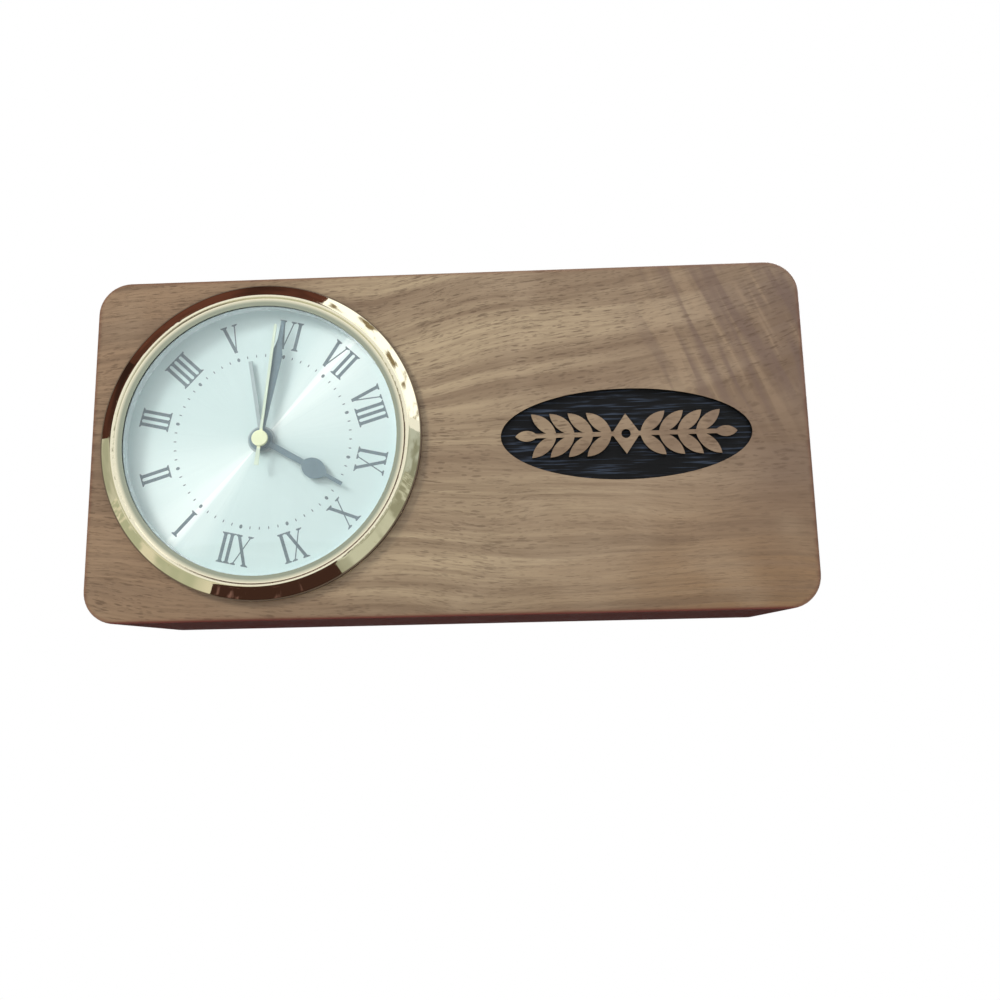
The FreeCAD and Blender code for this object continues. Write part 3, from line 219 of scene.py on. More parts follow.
# The varnish lies thicker and darker over the top, the ends and the base. How far a point is
# inside the block's rounded outline, as a length below zero:
edge_x = walnut.minus(walnut.math("ABSOLUTE", x), block_half_long - corner_radius)
edge_z = walnut.math("ABSOLUTE", walnut.minus(z, block_half_high))
edge_z = walnut.minus(edge_z, block_half_high - corner_radius)
round_x = walnut.square(walnut.math("MAXIMUM", edge_x, 0.0))
round_z = walnut.square(walnut.math("MAXIMUM", edge_z, 0.0))
outward = walnut.math("SQRT", walnut.plus(round_x, round_z))
inward = walnut.math("MINIMUM", walnut.math("MAXIMUM", edge_x, edge_z), 0.0)
to_edge = walnut.minus(walnut.plus(outward, inward), corner_radius)
side = walnut.span(to_edge, -1.2 * MM, -0.2 * MM, 0.0, 0.24)
ground = walnut.tint(side, ground, srgb(98, 70, 52))
# End grain: late wood darkens towards each ring's edge, and drinks more of the varnish.
end = walnut.span(walnut.math("ABSOLUTE", x), 99.5 * MM, 101.4 * MM)
rings_to_a_metre = 290
ring_count = walnut.plus(walnut.times(ring, rings_to_a_metre), walnut.times(blotch, 0.4))
ring_part = walnut.math("FRACT", ring_count)
late = walnut.times(walnut.span(ring_part, 0.25, 0.92), walnut.span(ring_part, 1.0, 0.95))
late = walnut.times(late, walnut.span(wide_ring, 0.25, 0.60, 0.20, 0.62))
ground = walnut.tint(walnut.times(end, late), ground, srgb(80, 55, 40))
end_pores = walnut.cloud(walnut.stretch(grain, 300, 1500, 1500), 1.0, 2.0, 0.6)
end_pores = walnut.times(end, walnut.span(end_pores, 0.60, 0.70, 0.0, 0.55))
ground = walnut.tint(end_pores, ground, srgb(62, 42, 30))
# The varnish is reddest along the eased edge of the face.
rim = walnut.times(walnut.span(to_edge, -1.6 * MM, -0.1 * MM, 0.0, 0.42),
                   walnut.span(y, face_y + 2.4 * MM, face_y + 0.8 * MM))
ground = walnut.tint(rim, ground, srgb(124, 74, 54))
# The underside is painted much darker and redder than the faces that show: painted shade on the
# face that looks down onto the floor.
ground = walnut.tint(walnut.span(z, 0.8 * MM, 0.1 * MM, 0.0, 0.85), ground, srgb(104, 26, 10))
# Black paint covers the walls of the sunk oval, and stops at the flush faces of the carving.
paint_starts, paint_ends = face_y + 0.12 * MM, face_y + 3 * MM
panel_x, panel_z = 50.6 * MM, 49.75 * MM
panel_long, panel_high, panel_deep = 70.2 * MM, 26.2 * MM, 1.5 * MM
oval_x = walnut.math("DIVIDE", walnut.minus(x, panel_x), panel_long / 2)
oval_z = walnut.math("DIVIDE", walnut.minus(z, panel_z), panel_high / 2)
oval = walnut.plus(walnut.square(oval_x), walnut.square(oval_z))
in_oval = walnut.math("LESS_THAN", oval, 1.02)
sunk = walnut.times(in_oval, walnut.math("GREATER_THAN", y, paint_starts))
sunk = walnut.times(sunk, walnut.math("LESS_THAN", y, paint_ends))
walnut.set(Base_Color=walnut.tint(sunk, ground, srgb(14, 15, 17)))
walnut.set(Roughness=walnut.span(fibre, 0.2, 0.8, 0.40, 0.56), IOR=1.47)
relief = walnut.minus(walnut.times(fibre, 0.25), pore)
walnut.set(Normal=walnut.bump(relief, 0.10 * MM, 0.55))
walnut.dress("block")


# The floor of the oval was gouged out by hand and left rough, in long ridges along the grain,
# and then flooded with black paint. It is a thin skin over the sunk face of the block.
def pick(piece, test):
    """In edit mode, selects just the vertices that the test accepts."""
    bpy.ops.object.mode_set(mode="OBJECT")
    for part in (piece.data.polygons, piece.data.edges):
        for item in part:
            item.select = False
    for vertex in piece.data.vertices:
        vertex.select = test(vertex.co)
    bpy.ops.object.mode_set(mode="EDIT")


def started(name):
    """Names the object just added and puts its place, turn and size into its mesh."""
    piece = bpy.context.object
    piece.name = piece.data.name = name
    bpy.ops.object.transform_apply(location=True, rotation=True, scale=True)
    return piece


def applied(piece, kind, **settings):
    """Gives the piece one modifier and applies it."""
    bpy.context.view_layer.objects.active = piece
    modifier = piece.modifiers.new(kind.lower(), kind)
    for name, value in settings.items():
        setattr(modifier, name, value)
    bpy.ops.object.modifier_apply(modifier=modifier.name)


ridge_deep, oval_gap = 0.42 * MM, 0.03 * MM
skin_y = face_y + panel_deep - 0.02 * MM
bpy.ops.object.select_all(action="DESELECT")
bpy.ops.mesh.primitive_grid_add(x_subdivisions=96, y_subdivisions=84, size=1,
                                location=(panel_x, skin_y, panel_z),
                                rotation=(math.radians(90), 0, 0),
                                scale=(panel_long, panel_high, 1))
gouged = started("gouged_panel_floor")
for vertex in gouged.data.vertices:
    at = vertex.co
    long_run = noise.noise(Vector((at.x * 34, 0, at.z * 620 + at.x * 9)))
    short_run = noise.noise(Vector((at.x * 130, 7, at.z * 1300)))
    at.y -= ridge_deep * min(max(0.5 + 0.75 * long_run + 0.3 * short_run, 0.05), 1.0)
bpy.ops.object.mode_set(mode="EDIT")
bpy.ops.mesh.select_all(action="SELECT")
bpy.ops.mesh.extrude_region_move(TRANSFORM_OT_translate={"value": (0, 2 * ridge_deep, 0)})
bpy.ops.object.mode_set(mode="OBJECT")
for vertex in gouged.data.vertices:
    vertex.co.y = min(vertex.co.y, skin_y)
bpy.ops.mesh.primitive_cylinder_add(vertices=96, radius=1, depth=6 * MM,
                                    location=(panel_x, skin_y, panel_z),
                                    rotation=(math.radians(90), 0, 0))
cutter = bpy.context.object
cutter.scale = (panel_long / 2 - oval_gap, panel_high / 2 - oval_gap, 1)
cutter = started("oval_cutter")
applied(gouged, "BOOLEAN", operation="INTERSECT", object=cutter, solver="EXACT")
bpy.data.objects.remove(cutter)
bpy.ops.object.select_all(action="DESELECT")
gouged.select_set(True)
bpy.context.view_layer.objects.active = gouged
bpy.ops.object.shade_smooth_by_angle(angle=math.radians(50))
paint = Finish("black_panel_paint", Roughness=0.5, IOR=1.33, Specular_IOR_Level=0.35)
scored = paint.cloud(paint.stretch(paint.place, 60, 1, 1300), 1.0, 3.0, 0.6)
# The paint is lighter and bluer along the scored ridges: a painted sheen where they catch the
# light.
painted_ridge_sheen = paint.span(scored, 0.50, 0.68, 0.0, 1.0)
paint.set(Base_Color=paint.tint(painted_ridge_sheen, srgb(12, 13, 16), srgb(56, 65, 80)))
paint.set(Normal=paint.bump(scored, 0.35 * MM, 0.9))
gouged.data.materials.clear()
gouged.data.materials.append(paint.material)
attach(gouged, "block")


# The bezel is spun from thin brass, polished and lacquered: a hollow flank, a rolled crest and
# a bevel down to the crystal. The clock sits in the block upside down, a little past square.
insert_x, insert_z = -52.4 * MM, 51.0 * MM
insert_turn = math.radians(192.7)


def around(finish):
    """Radius from the clock's axis and the angle round it, for marks that follow the turning."""
    wires = {"Vector": finish.place, "Location": (-insert_x, 0, -insert_z)}
    centred = finish.add("ShaderNodeMapping", wires).outputs[0]
    across, _, high = finish.split(centred)
    flat = finish.plus(finish.square(across), finish.square(high))
    return finish.math("SQRT", flat), finish.math("ARCTAN2", across, high)


brass = Finish("polished_brass", Metallic=1.0)
radius = around(brass)[0]
wavy = brass.cloud(brass.place, 130.0, 2.0)
haze = brass.cloud(brass.place, 160.0, 3.0)
tarnish = brass.span(brass.cloud(brass.place, 420.0, 4.0, 0.7), 0.60, 0.78, 0.0, 0.35)
gold = brass.tint(tarnish, srgb(237, 231, 204), srgb(204, 184, 136))
# The bevel next to the crystal is left satin, and its grey-green colour beside the polish is
# painted reflection and shade, for the dim surroundings that it mirrors.
satin = brass.span(radius, 41.0 * MM, 39.7 * MM)
gold = brass.tint(satin, gold, srgb(158, 164, 146))
# Polish never gets out of the corner at the foot, which is rougher; its dark brown there is painted
# shade in the corner against the wood.
foot = brass.span(radius, 45.2 * MM, 45.45 * MM, 0.0, 0.9)
brass.set(Base_Color=brass.tint(foot, gold, srgb(84, 60, 44)))
polish = brass.span(haze, 0.35, 0.75, 0.025, 0.06)
# The rolled crest is a little duller than the flank, and the bevel inside it more so.
dull = brass.plus(brass.span(radius, 43.1 * MM, 42.6 * MM, 0.0, 0.05),
                  brass.span(radius, 41.9 * MM, 41.5 * MM, 0.0, 0.16))
dull = brass.plus(dull, brass.times(foot, 0.3))
brass.set(Roughness=brass.plus(polish, dull))
brass.set(Normal=brass.bump(wavy, 0.05 * MM, 0.5))
brass.dress("bezel")


# The crystal is a shallow dome of clear acrylic, pressed in behind the lip of the bezel.
crystal = Finish("clear_acrylic", Transmission_Weight=1.0, IOR=1.45)
smear = crystal.cloud(crystal.place, 60.0, 3.0)
crystal.set(Base_Color=(0.985, 0.995, 0.99, 1.0))
crystal.set(Roughness=crystal.span(smear, 0.5, 0.8, 0.0, 0.02))
# It casts no shadow of its own: shadow rays pass straight through.
through = crystal.add("ShaderNodeBsdfTransparent", {"Color": (0.97, 0.985, 0.98, 1.0)})
light_path = crystal.add("ShaderNodeLightPath")
pane = crystal.add("ShaderNodeMixShader", {0: light_path.outputs["Is Shadow Ray"],
                                           1: crystal.shader.outputs[0],
                                           2: through.outputs[0]})
crystal.wire(crystal.output, {"Surface": pane.outputs[0]})
crystal.dress("crystal")


# The dial is an aluminium disc, brushed in rays from its centre, and the rays catch the lamp in two
# opposite wedges.
# The wedges and a bright beam line are also painted into its colour: a painted highlight that stays
# put.
# Round it stands a plated plastic ring that throws light inwards.
dial = Finish("sunray_dial", Metallic=0.16, Anisotropic=0.9)
radius, angle = around(dial)
ray = dial.cloud(dial.join(dial.times(angle, 90), dial.times(radius, 30), 0.0), 1.0, 3.0, 0.7)
# Each painted wedge starts sharply at its beam and fades clockwise from there.
beam_angle = math.radians(41)
lit_side = dial.math("COSINE", dial.times(dial.minus(angle, beam_angle), 2.0))
past_beam = dial.math("SINE", dial.times(dial.minus(angle, beam_angle), 2.0))
painted_wedge_glow = dial.span(lit_side, -0.9, 0.9, 0.0, 0.30)
painted_wedge_glow = dial.times(dial.span(past_beam, -0.03, 0.07), painted_wedge_glow)
beam = dial.plus(dial.span(lit_side, 0.80, 1.0, 0.0, 0.26),
                 dial.span(lit_side, 0.9945, 0.9998, 0.0, 0.50))
silver_with_painted_wedges = dial.tint(dial.plus(painted_wedge_glow, beam), srgb(202, 221, 222), srgb(246, 254, 253))
dial.set(Base_Color=dial.tint(dial.span(ray, 0.3, 0.75, 0.0, 0.16), silver_with_painted_wedges, srgb(178, 197, 200)))
dial.set(Roughness=dial.span(ray, 0.3, 0.7, 0.43, 0.53))
dial.set(Tangent=dial.add("ShaderNodeTangent", direction_type="RADIAL", axis="Y").outputs[0])
dial.set(Normal=dial.bump(ray, 0.01 * MM, 0.4))
dial.dress("dial")

reflector = Finish("plated_reflector", Metallic=0.25)
moulding = reflector.cloud(reflector.stretch(reflector.place, 300, 900, 300), 1.0, 2.0)
reflector.set(Roughness=reflector.span(moulding, 0.3, 0.7, 0.16, 0.28))
reflector.set(Normal=reflector.bump(moulding, 0.02 * MM, 0.3))
reflector.set(Base_Color=reflector.tint(moulding, srgb(226, 238, 242), srgb(236, 245, 248)))
reflector.dress("reflector_ring")


# The hours are printed on the dial in roman numerals that stand on the minute track, tops
# outward, in slate ink. Each letter is drawn once from serifed strokes and then copied.
ink_deep, ink_y = 0.03 * MM, -24.8 * MM
numeral_inner, numeral_outer = 27.5 * MM, 36.1 * MM
thick, thin, thin_share = 0.95 * MM, 0.36 * MM, 0.8
serif_long, serif_thick, bracket = 1.95 * MM, 0.28 * MM, 0.35 * MM
letter_high = numeral_outer - numeral_inner
letter_wide = {"I": 1.9 * MM, "V": 5.2 * MM, "X": 5.3 * MM}


def stroke(wide, serifs, lean=0.0, shift=0.0):
    """One upright stroke, centred on its height, with a bracketed serif at each end named."""
    shank = letter_high - 2 * (serif_thick + bracket)
    share = 1.0 if wide == thick else thin_share
    bpy.ops.object.select_all(action="DESELECT")
    bpy.ops.mesh.primitive_plane_add(size=1, rotation=(math.radians(90), 0, 0))
    bpy.context.object.scale = (wide, shank, 1)
    piece = started("stroke")

    def grown(by):
        bpy.ops.mesh.extrude_region_move(TRANSFORM_OT_translate={"value": (0, 0, by)})

    for end in (1, -1):
        pick(piece, lambda at: at.z * end > shank / 4)
        if end in serifs:
            grown(end * bracket)
            bpy.ops.transform.resize(value=(max(serif_long * share, 2 * wide) / wide, 1, 1))
            grown(end * serif_thick)
        else:
            grown(end * (bracket + serif_thick))
    bpy.ops.object.mode_set(mode="OBJECT")
    for vertex in piece.data.vertices:
        vertex.co.x += shift + lean * vertex.co.z
    applied(piece, "SOLIDIFY", thickness=ink_deep * share, offset=1.0)
    return piece


def fused(pieces, name):
    """Joins pieces into the first of them."""
    bpy.ops.object.select_all(action="DESELECT")
    for piece in pieces:
        piece.select_set(True)
    bpy.context.view_layer.objects.active = pieces[0]
    bpy.ops.object.join()
    pieces[0].name = pieces[0].data.name = name
    return pieces[0]


def twin(piece, place):
    """A copy of the piece with a mesh of its own, put in its place."""
    copy = piece.copy()
    copy.data = piece.data.copy()
    copy.data.transform(place)
    bpy.context.collection.objects.link(copy)
    return copy


v_lean = (letter_wide["V"] - serif_long) / 2 / letter_high
x_lean = (letter_wide["X"] - serif_long * 0.9) / letter_high
letters = {
    "I": fused([stroke(thick, (1, -1))], "letter_i"),
    "V": fused([stroke(thick, (1,), -v_lean, -v_lean * letter_high / 2),
                stroke(thin, (1,), v_lean, v_lean * letter_high / 2)], "letter_v"),
    "X": fused([stroke(thick, (1, -1), -x_lean), stroke(thin, (1, -1), x_lean)], "letter_x"),
}
hours = ("I", "II", "III", "IIII", "V", "VI", "VII", "VIII", "IX", "X", "XI", "XII")
printed = []
to_insert = Matrix.Translation((insert_x, 0, insert_z))
for hour, numeral in enumerate(hours, 1):
    turn = Matrix.Rotation(insert_turn + math.radians(30) * hour, 4, "Y")
    out = Matrix.Translation((0, ink_y, (numeral_inner + numeral_outer) / 2))
    pen = -sum(letter_wide[letter] for letter in numeral) / 2
    for letter in numeral:
        pen += letter_wide[letter] / 2
        place = to_insert @ turn @ out @ Matrix.Translation((pen, 0, 0))
        printed.append(twin(letters[letter], place))
        pen += letter_wide[letter] / 2
numerals = fused(printed, "dial_numerals")
for letter in letters.values():
    bpy.data.objects.remove(letter)

# The minute track is a ring of fine dashes, with a heavier mark at every fifth minute.
track_radius = 25.2 * MM
light_size, heavy_size = (0.16 * MM, 0.46 * MM), (0.44 * MM, 0.60 * MM)
marks = []
for heavy, size in ((False, light_size), (True, heavy_size)):
    bpy.ops.object.select_all(action="DESELECT")
    bpy.ops.mesh.primitive_circle_add(vertices=10, radius=1, fill_type="NGON",
                                      rotation=(math.radians(90), 0, 0))
    bpy.context.object.scale = (*size, 1)
    mark = started("track_mark")
    applied(mark, "SOLIDIFY", thickness=ink_deep * thin_share, offset=1.0)
    for minute in range(60):
        if (minute % 5 == 0) == heavy:
            turn = Matrix.Rotation(insert_turn + math.radians(6) * minute, 4, "Y")
            out = Matrix.Translation((0, ink_y, track_radius))
            marks.append(twin(mark, to_insert @ turn @ out))
    bpy.data.objects.remove(mark)
track = fused(marks, "minute_track")

ink = Finish("slate_ink", Roughness=0.55)
speck = ink.cloud(ink.place, 2600.0, 2.0)
speck = ink.span(speck, 0.4, 0.7, 0.0, 0.5)
ink.set(Base_Color=ink.tint(speck, srgb(98, 114, 122), srgb(120, 136, 144)))
for piece in (numerals, track):
    piece.data.materials.clear()
    piece.data.materials.append(ink.material)
    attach(piece, "insert")


# The hands are stamped from thin aluminium and lacquered: slate for the hours and minutes, a
# plainer grey for the alarm and cream for the seconds, whose cap covers the arbor.
def lacquer(name, rough):
    """A sprayed coat, still without its colour, and the spray's mist."""
    coat = Finish(name, Coat_Weight=0.25, Coat_Roughness=0.2)
    mist = coat.cloud(coat.place, 900.0, 3.0, 0.6)
    coat.set(Roughness=coat.span(mist, 0.3, 0.7, rough, rough + 0.1))
    coat.set(Normal=coat.bump(mist, 0.006 * MM, 0.3))
    return coat, mist


slate, mist = lacquer("slate_lacquer", 0.38)
mist = slate.span(mist, 0.4, 0.75, 0.0, 0.4)
slate.set(Base_Color=slate.tint(mist, srgb(99, 121, 131), srgb(119, 141, 151)))
slate.dress("hour_hand", "minute_hand")
grey, mist = lacquer("grey_lacquer", 0.40)
mist = grey.span(mist, 0.4, 0.75, 0.0, 0.4)
grey.set(Base_Color=grey.tint(mist, srgb(154, 170, 174), srgb(172, 186, 189)))
grey.dress("alarm_hand")
# Past its cap the second hand is a darker, greener strip.
cream = lacquer("cream_lacquer", 0.45)[0]
past_cap = cream.span(around(cream)[0], 2.6 * MM, 3.0 * MM)
cream.set(Base_Color=cream.tint(past_cap, srgb(220, 226, 190), srgb(200, 215, 198)))
cream.dress("second_hand")


# The cup, the movement's housing and its cover are moulded in black polystyrene with a fine
# spark texture. The cup carries a band of ribbed rubber that grips the bore.
def moulded(name, colour, shade, rough, grain_scale=1800.0, grain_deep=0.02):
    plastic = Finish(name, IOR=1.5)
    spark = plastic.cloud(plastic.place, grain_scale, 3.0, 0.6)
    flow = plastic.cloud(plastic.place, 45.0, 2.0)
    plastic.set(Base_Color=plastic.tint(plastic.span(flow, 0.35, 0.7), colour, shade))
    plastic.set(Roughness=plastic.span(spark, 0.3, 0.7, rough - 0.06, rough + 0.08))
    plastic.set(Normal=plastic.bump(spark, grain_deep * MM, 0.5))
    return plastic


moulded("black_polystyrene", srgb(30, 30, 32), srgb(38, 38, 39), 0.48).dress(
    "case_cup", "movement_housing", "rear_cover", "alarm_set_shaft", "time_set_shaft", "clock_chip")
moulded("natural_acetal", srgb(222, 220, 208), srgb(232, 231, 222), 0.42, 900.0).dress(
    "main_plate", "train_bridge", "coil_bobbin", "alarm_wheel", "centre_wheel", "hour_wheel",
    "intermediate_wheel", "minute_wheel", "rotor_pinion", "second_wheel", "third_wheel")
moulded("white_knob_plastic", srgb(226, 224, 214), srgb(235, 233, 226), 0.35, 1400.0, 0.01).dress(
    "alarm_set_knob", "time_set_knob", "alarm_switch")
moulded("band_rubber", srgb(44, 43, 42), srgb(58, 56, 54), 0.72, 1100.0, 0.05).dress(
    "friction_band")

# The cover's marks are pad printed in white: a turning arrow round each knob, and the two ends
# of the alarm switch's slot. They are drawn as seen from behind, in the insert's own upright.
cover_y, mark_deep, arrow_wide = -7.0 * MM, 0.08 * MM, 0.45 * MM
arrow_end = math.radians(115)
knobs_and_radii = ((15.79 * MM, 0.0, 6.3 * MM), (-9.34 * MM, -6.54 * MM, 5.8 * MM))
switch_x, on_z, off_z, word_high = -23.0 * MM, 17.4 * MM, 5.6 * MM, 2.3 * MM
marks = []
for knob_x, knob_z, arrow_radius in knobs_and_radii:
    bpy.ops.object.select_all(action="DESELECT")
    bpy.ops.mesh.primitive_circle_add(vertices=72, radius=arrow_radius,
                                      rotation=(math.radians(90), 0, 0))
    arrow = started("turning_arrow")
    pick(arrow, lambda at: abs(math.atan2(at.x, at.z)) > arrow_end)
    bpy.ops.mesh.delete(type="VERT")
    bpy.ops.mesh.select_all(action="SELECT")
    bpy.ops.mesh.extrude_region_move()
    thinner = 1 - arrow_wide / arrow_radius
    bpy.ops.transform.resize(value=(thinner, 1, thinner), center_override=(0, 0, 0))
    bpy.ops.object.mode_set(mode="OBJECT")
    bpy.ops.object.select_all(action="DESELECT")
    bpy.ops.mesh.primitive_circle_add(vertices=3, radius=2.2 * arrow_wide, fill_type="NGON",
                                      rotation=(math.radians(90), 0, 0))
    head = started("arrow_head")
    head.data.transform(Matrix.Rotation(arrow_end, 4, "Y")
                        @ Matrix.Translation((0, 0, arrow_radius - arrow_wide / 2))
                        @ Matrix.Rotation(math.radians(90), 4, "Y"))
    arrow = fused([arrow, head], "turning_arrow")
    applied(arrow, "SOLIDIFY", thickness=2 * mark_deep, offset=0.0)
    arrow.data.transform(Matrix.Translation((knob_x, 0, knob_z)))
    marks.append(arrow)
for word, word_z in (("ON", on_z), ("OFF", off_z)):
    bpy.ops.object.select_all(action="DESELECT")
    bpy.ops.object.text_add(rotation=(math.radians(90), 0, 0))
    lettering = bpy.context.object.data
    lettering.body, lettering.size, lettering.extrude = word, word_high, mark_deep
    lettering.align_x, lettering.align_y = "CENTER", "CENTER"
    bpy.ops.object.convert(target="MESH")
    marks.append(started("switch_word"))
    marks[-1].data.transform(Matrix.Translation((switch_x, 0, word_z)))
cover_marks = fused(marks, "cover_marks")
bpy.ops.object.mode_set(mode="EDIT")
bpy.ops.mesh.select_all(action="SELECT")
bpy.ops.mesh.normals_make_consistent(inside=False)
bpy.ops.object.mode_set(mode="OBJECT")
cover_marks.data.transform(to_insert @ Matrix.Rotation(insert_turn, 4, "Y")
                           @ Matrix.Translation((0, cover_y, 0)) @ Matrix.Rotation(math.pi, 4, "Z"))
pad_ink = Finish("white_pad_ink", Roughness=0.55)
worn_ink = pad_ink.cloud(pad_ink.place, 2200.0, 3.0, 0.7)
worn_ink = pad_ink.span(worn_ink, 0.5, 0.8)
pad_ink.set(Base_Color=pad_ink.tint(worn_ink, srgb(214, 214, 208), srgb(150, 150, 147)))
cover_marks.data.materials.clear()
cover_marks.data.materials.append(pad_ink.material)
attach(cover_marks, "insert")


# Inside are stamped and turned metal parts: nickel-plated screws, stator and resonator can,
# sprung brass contacts, buzzer and cannon pinion, the copper coil and the ferrite magnet.
def stamped(name, colour, shade, rough, run=(400, 400, 400)):
    metal = Finish(name, Metallic=1.0)
    drawn = metal.cloud(metal.stretch(metal.place, *run), 1.0, 3.0, 0.6)
    metal.set(Base_Color=metal.tint(metal.span(drawn, 0.35, 0.7), colour, shade))
    metal.set(Roughness=metal.span(drawn, 0.3, 0.7, rough - 0.05, rough + 0.1))
    metal.set(Normal=metal.bump(drawn, 0.006 * MM, 0.3))
    return metal


stamped("nickel_plate", srgb(198, 198, 192), srgb(176, 176, 172), 0.26).dress(
    "bridge_screws", "case_screws", "cover_screws", "stator", "quartz_resonator")
stamped("spring_brass_strip", srgb(206, 176, 110), srgb(188, 156, 92), 0.28, (250, 900, 900)).dress(
    "alarm_contact_strip", "buzzer_disc", "cannon_pinion", "negative_contact", "positive_contact")
stamped("ferrite", srgb(70, 70, 72), srgb(52, 52, 54), 0.55).dress("rotor_magnet")

winding = Finish("enamelled_copper_wire", Metallic=0.9, Coat_Weight=0.6, Coat_Roughness=0.15)
# The wire lies in turns of 0.13 mm, each half a wave of a sine along X. Each turn is painted dark
# in the groove beside its neighbour and bright on its crown: painted shade and highlight, over the
# bump.
wave_phase = math.pi / (0.1309 * MM)
wire_x = winding.split(winding.place)[0]
turns = winding.math("ABSOLUTE", winding.math("SINE", winding.times(wire_x, wave_phase)))
winding.set(Base_Color=winding.tint(turns, srgb(110, 48, 26), srgb(196, 104, 62)), Roughness=0.3)
winding.set(Normal=winding.bump(turns, 0.05 * MM, 0.8))
winding.dress("coil_winding")

board = Finish("circuit_board_mask", Coat_Weight=0.4, Coat_Roughness=0.2, Roughness=0.45)
track_cells = board.add("ShaderNodeTexVoronoi", {"Vector": board.place, "Scale": 420.0},
                        feature="DISTANCE_TO_EDGE")
lane = board.span(track_cells.outputs["Distance"], 0.12, 0.08)
board.set(Base_Color=board.tint(lane, srgb(28, 84, 52), srgb(58, 122, 70)))
board.set(Normal=board.bump(lane, 0.03 * MM, 0.6))
board.dress("circuit_board")

# The cell is an AA battery in a plain printed sleeve, with bare steel at both ends.
sleeve = Finish("cell_sleeve", Coat_Weight=0.3, Coat_Roughness=0.15)
battery_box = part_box("battery")
battery_x = Matrix.Rotation(insert_turn, 4, "Y") @ Vector((1, 0, 0))
along = sleeve.add("ShaderNodeVectorMath", {0: sleeve.place, 1: tuple(battery_x)},
                   operation="DOT_PRODUCT").outputs["Value"]
battery_mid = (Vector(battery_box[0]) + Vector(battery_box[1])) / 2
along = sleeve.minus(along, battery_mid.dot(battery_x))
scuff = sleeve.cloud(sleeve.place, 500.0, 3.0, 0.7)
sleeve_half, gold_from = 24.0 * MM, 8.0 * MM
ends = sleeve.math("GREATER_THAN", sleeve.math("ABSOLUTE", along), sleeve_half)
gold_end = sleeve.math("GREATER_THAN", along, gold_from)
wrap = sleeve.tint(gold_end, srgb(34, 36, 40), srgb(176, 132, 72))
wrap = sleeve.tint(sleeve.span(scuff, 0.6, 0.8, 0.0, 0.3), wrap, srgb(120, 116, 108))
sleeve.set(Base_Color=sleeve.tint(ends, wrap, srgb(190, 190, 186)), Metallic=ends, Roughness=0.32)
sleeve.set(Normal=sleeve.bump(scuff, 0.01 * MM, 0.3))
sleeve.dress("battery")


# The studio: a pale floor just under the block, seen from above only, because the photograph
# was taken from a little below the table's edge. It fades out away from the clock, and camera,
# mirrors and glass see white all round.
floor_gap, fade_from, fade_to = 0.2 * MM, 260 * MM, 750 * MM
bpy.ops.object.select_all(action="DESELECT")
bpy.ops.mesh.primitive_plane_add(size=6, location=(0, 0, -floor_gap))
floor = started("studio_floor")
paper = Finish("studio_paper", Roughness=0.9)
fleck = paper.cloud(paper.place, 40.0, 2.0)
paper.set(Base_Color=paper.tint(fleck, srgb(236, 236, 235), srgb(240, 240, 239)))
unseen = paper.add("ShaderNodeBsdfTransparent")
below = paper.add("ShaderNodeNewGeometry").outputs["Backfacing"]
floor_x, floor_y, _ = paper.split(paper.place)
away = paper.math("SQRT", paper.plus(paper.square(floor_x), paper.square(floor_y)))
seep = paper.math("MAXIMUM", below, paper.span(away, fade_from, fade_to, 0.1, 1.0))
wires = {0: seep, 1: paper.shader.outputs[0], 2: unseen.outputs[0]}
one_side = paper.add("ShaderNodeMixShader", wires)
paper.wire(paper.output, {"Surface": one_side.outputs[0]})
floor.data.materials.append(paper.material)

world = bpy.data.worlds.new("studio_surround")
bpy.context.scene.world = world
world.use_nodes = True
air = world.node_tree
backdrop = air.nodes["Background"]
backdrop.inputs["Color"].default_value = (0.92, 0.97, 1.02, 1.0)
backdrop.inputs["Strength"].default_value = 0.74
white = air.nodes.new("ShaderNodeBackground")
white.inputs["Color"].default_value = (1.0, 1.0, 1.0, 1.0)
rays = air.nodes.new("ShaderNodeLightPath")
shown = rays.outputs["Is Camera Ray"]
for kind in ("Is Glossy Ray", "Is Transmission Ray"):
    either = air.nodes.new("ShaderNodeMath")
    either.operation = "MAXIMUM"
    air.links.new(shown, either.inputs[0])
    air.links.new(rays.outputs[kind], either.inputs[1])
    shown = either.outputs[0]
choose = air.nodes.new("ShaderNodeMixShader")
air.links.new(shown, choose.inputs[0])
air.links.new(backdrop.outputs[0], choose.inputs[1])
air.links.new(white.outputs[0], choose.inputs[2])
air.links.new(choose.outputs[0], air.nodes["World Output"].inputs[0])


def lamp(name, place, aim, size, power, colour):
    """A round soft lamp of so many metres and watts, turned to what it is aimed at."""
    light = bpy.data.lights.new(name, "AREA")
    light.shape, light.size, light.energy, light.color = "DISK", size, power, colour
    lit = bpy.data.objects.new(name, light)
    bpy.context.collection.objects.link(lit)
    lit.location = place
    lit.rotation_euler = (Vector(aim) - Vector(place)).to_track_quat("-Z", "Y").to_euler()
    return lit


clock_face = Vector((insert_x, face_y, insert_z))
window_place = clock_face + Vector((-0.66, -0.51, 0.56)) * 2.2
window_lamp = lamp("window_lamp", window_place, clock_face, 0.5, 28.0, (1.0, 0.97, 0.93))
window_lamp.visible_glossy = False
lamp("rear_fill", (0.9, 1.1, 0.9), (0, 0, 0.05), 1.2, 22.0, (1.0, 0.98, 0.95))
# A dim warm lamp below the table seeps through the paper and shows the underside.
lamp("under_glow", (0, 0, -0.8), (0, 0, 0), 0.5, 8.0, (1.0, 0.48, 0.38))


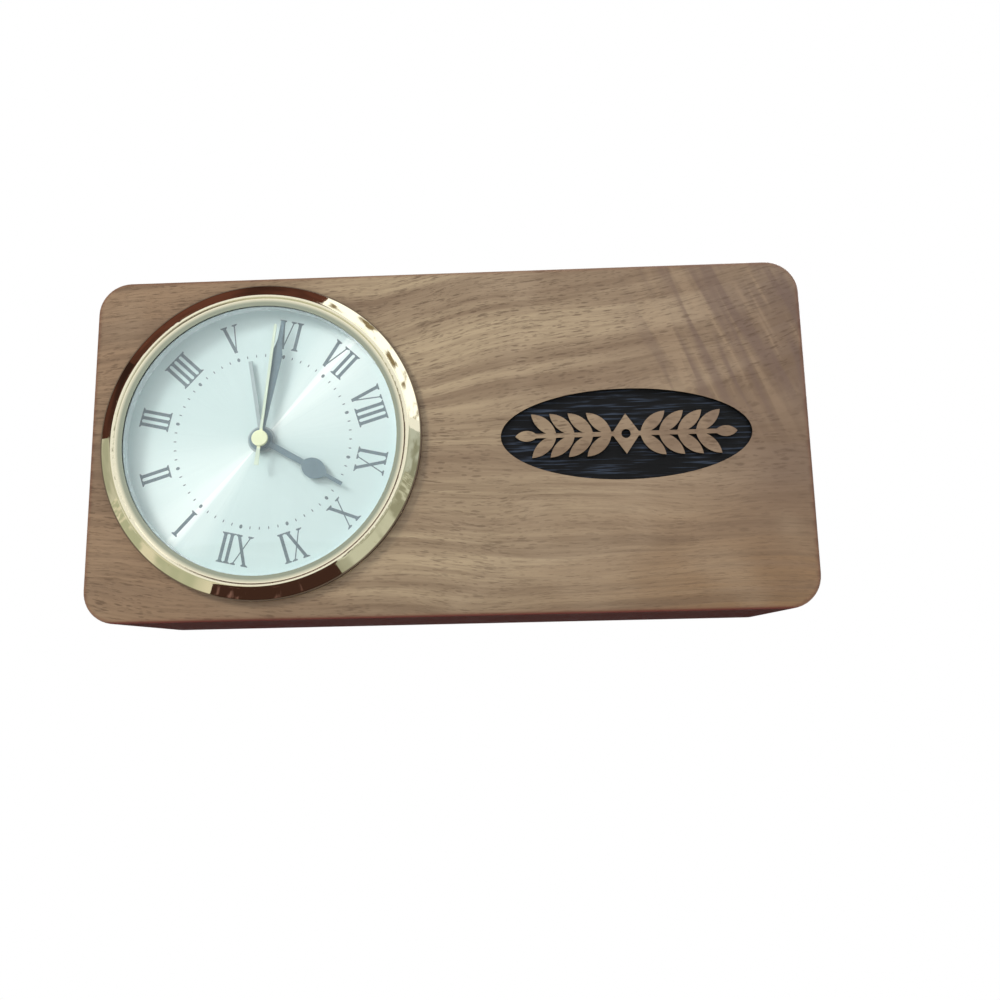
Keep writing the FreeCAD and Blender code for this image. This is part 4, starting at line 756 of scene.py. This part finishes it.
# Cards stand round the clock for the brass alone to mirror: dark at the left and above, bright
# overhead to the right, pale at the sides and in three strips along the table. They are mottled
# like the room that they stand for.
def card(name, corners, colour, second, scale, low=0.4, high=0.6):
    """A card that glows in one colour with blots of a second, seen by mirror rays only."""
    mesh = bpy.data.meshes.new(name)
    mesh.from_pydata([Vector(corner) for corner in corners], [], [(0, 1, 2, 3)])
    sheet = bpy.data.objects.new(name, mesh)
    bpy.context.collection.objects.link(sheet)
    cloth = Finish(name + "_cloth", Base_Color=(0, 0, 0, 1), Roughness=1.0)
    mottle = cloth.span(cloth.cloud(cloth.place, scale, 3.0), low, high)
    cloth.set(Emission_Color=cloth.tint(mottle, colour, second), Emission_Strength=1.0)
    cloth.set(Specular_IOR_Level=0.0)
    mesh.materials.append(cloth.material)
    sheet.visible_camera = sheet.visible_diffuse = False
    sheet.visible_shadow = sheet.visible_transmission = False


left, right, near, far = -0.85, 0.8, -0.8, 2.2
foot, shelf, ledge, top = -0.1, 0.24, 0.6, 0.9


def wall(across, front, low, high):
    """Corners of an upright card beside the clock."""
    return [(across, far, low), (across, front, low), (across, front, high), (across, far, high)]


dark_red, brown, soot = srgb(102, 62, 52), srgb(84, 52, 44), srgb(52, 34, 30)
card("left_wall_card", wall(left, near, shelf, ledge), soot, brown, 2.6)
card("left_high_card", wall(left, near, ledge, top), brown, dark_red, 2.6)
card("left_low_card", wall(left, near, foot, shelf), srgb(206, 204, 190), srgb(176, 178, 160), 6.0)
card("ceiling_card", [(left, far, top), (left, near, top), (0.02, near, top), (0.02, far, top)],
     dark_red, soot, 2.2, 0.45, 0.7)
card("right_wall_card", wall(right, -1.2, foot, 0.33),
     srgb(196, 202, 198), srgb(150, 152, 138), 5.0)
card("bright_card", [(0.02, 0.3, top), (0.02, near, top), (0.75, near, 0.4), (0.75, 0.3, 0.4)],
     (1.5, 1.5, 1.5, 1.0), srgb(146, 130, 104), 9.0, 0.52, 0.66)
table_z, back_y, front_y = 0.0006, -0.0262, -0.6
for name, start, end, tone, second, scale, low in (
        ("table_left_card", -0.6, -0.071, srgb(232, 226, 208), srgb(186, 190, 168), 22.0, 0.4),
        ("table_dark_card", -0.071, -0.024, srgb(66, 44, 38), srgb(168, 128, 124), 210.0, 0.6),
        ("table_right_card", -0.024, 0.6, srgb(206, 208, 196), srgb(158, 158, 142), 24.0, 0.4)):
    corners = [(start, back_y, table_z), (start, front_y, table_z),
               (end, front_y, table_z), (end, back_y, table_z)]
    card(name, corners, tone, second, scale, low, low + 0.15)


# The camera stands close in front, a little right of the middle and low, and looks up.
camera_place = (0.02296, -0.27695, -0.01239)
yaw, pitch, roll = 0.0321, 0.1742, 0.0213
lens_to_picture = 0.9176
camera_data = bpy.data.cameras.new("camera")
camera_data.sensor_width = 36.0
camera_data.lens = camera_data.sensor_width * lens_to_picture
camera_data.clip_start = 0.01
camera = bpy.data.objects.new("camera", camera_data)
bpy.context.collection.objects.link(camera)
aim = Matrix.Rotation(yaw, 4, "Z") @ Matrix.Rotation(pitch, 4, "X") @ Matrix.Rotation(roll, 4, "Y")
level = Matrix.Rotation(math.radians(90), 4, "X")
camera.matrix_world = Matrix.Translation(camera_place) @ aim @ level
bpy.context.scene.camera = camera
bpy.context.scene.view_settings.view_transform = "Standard"
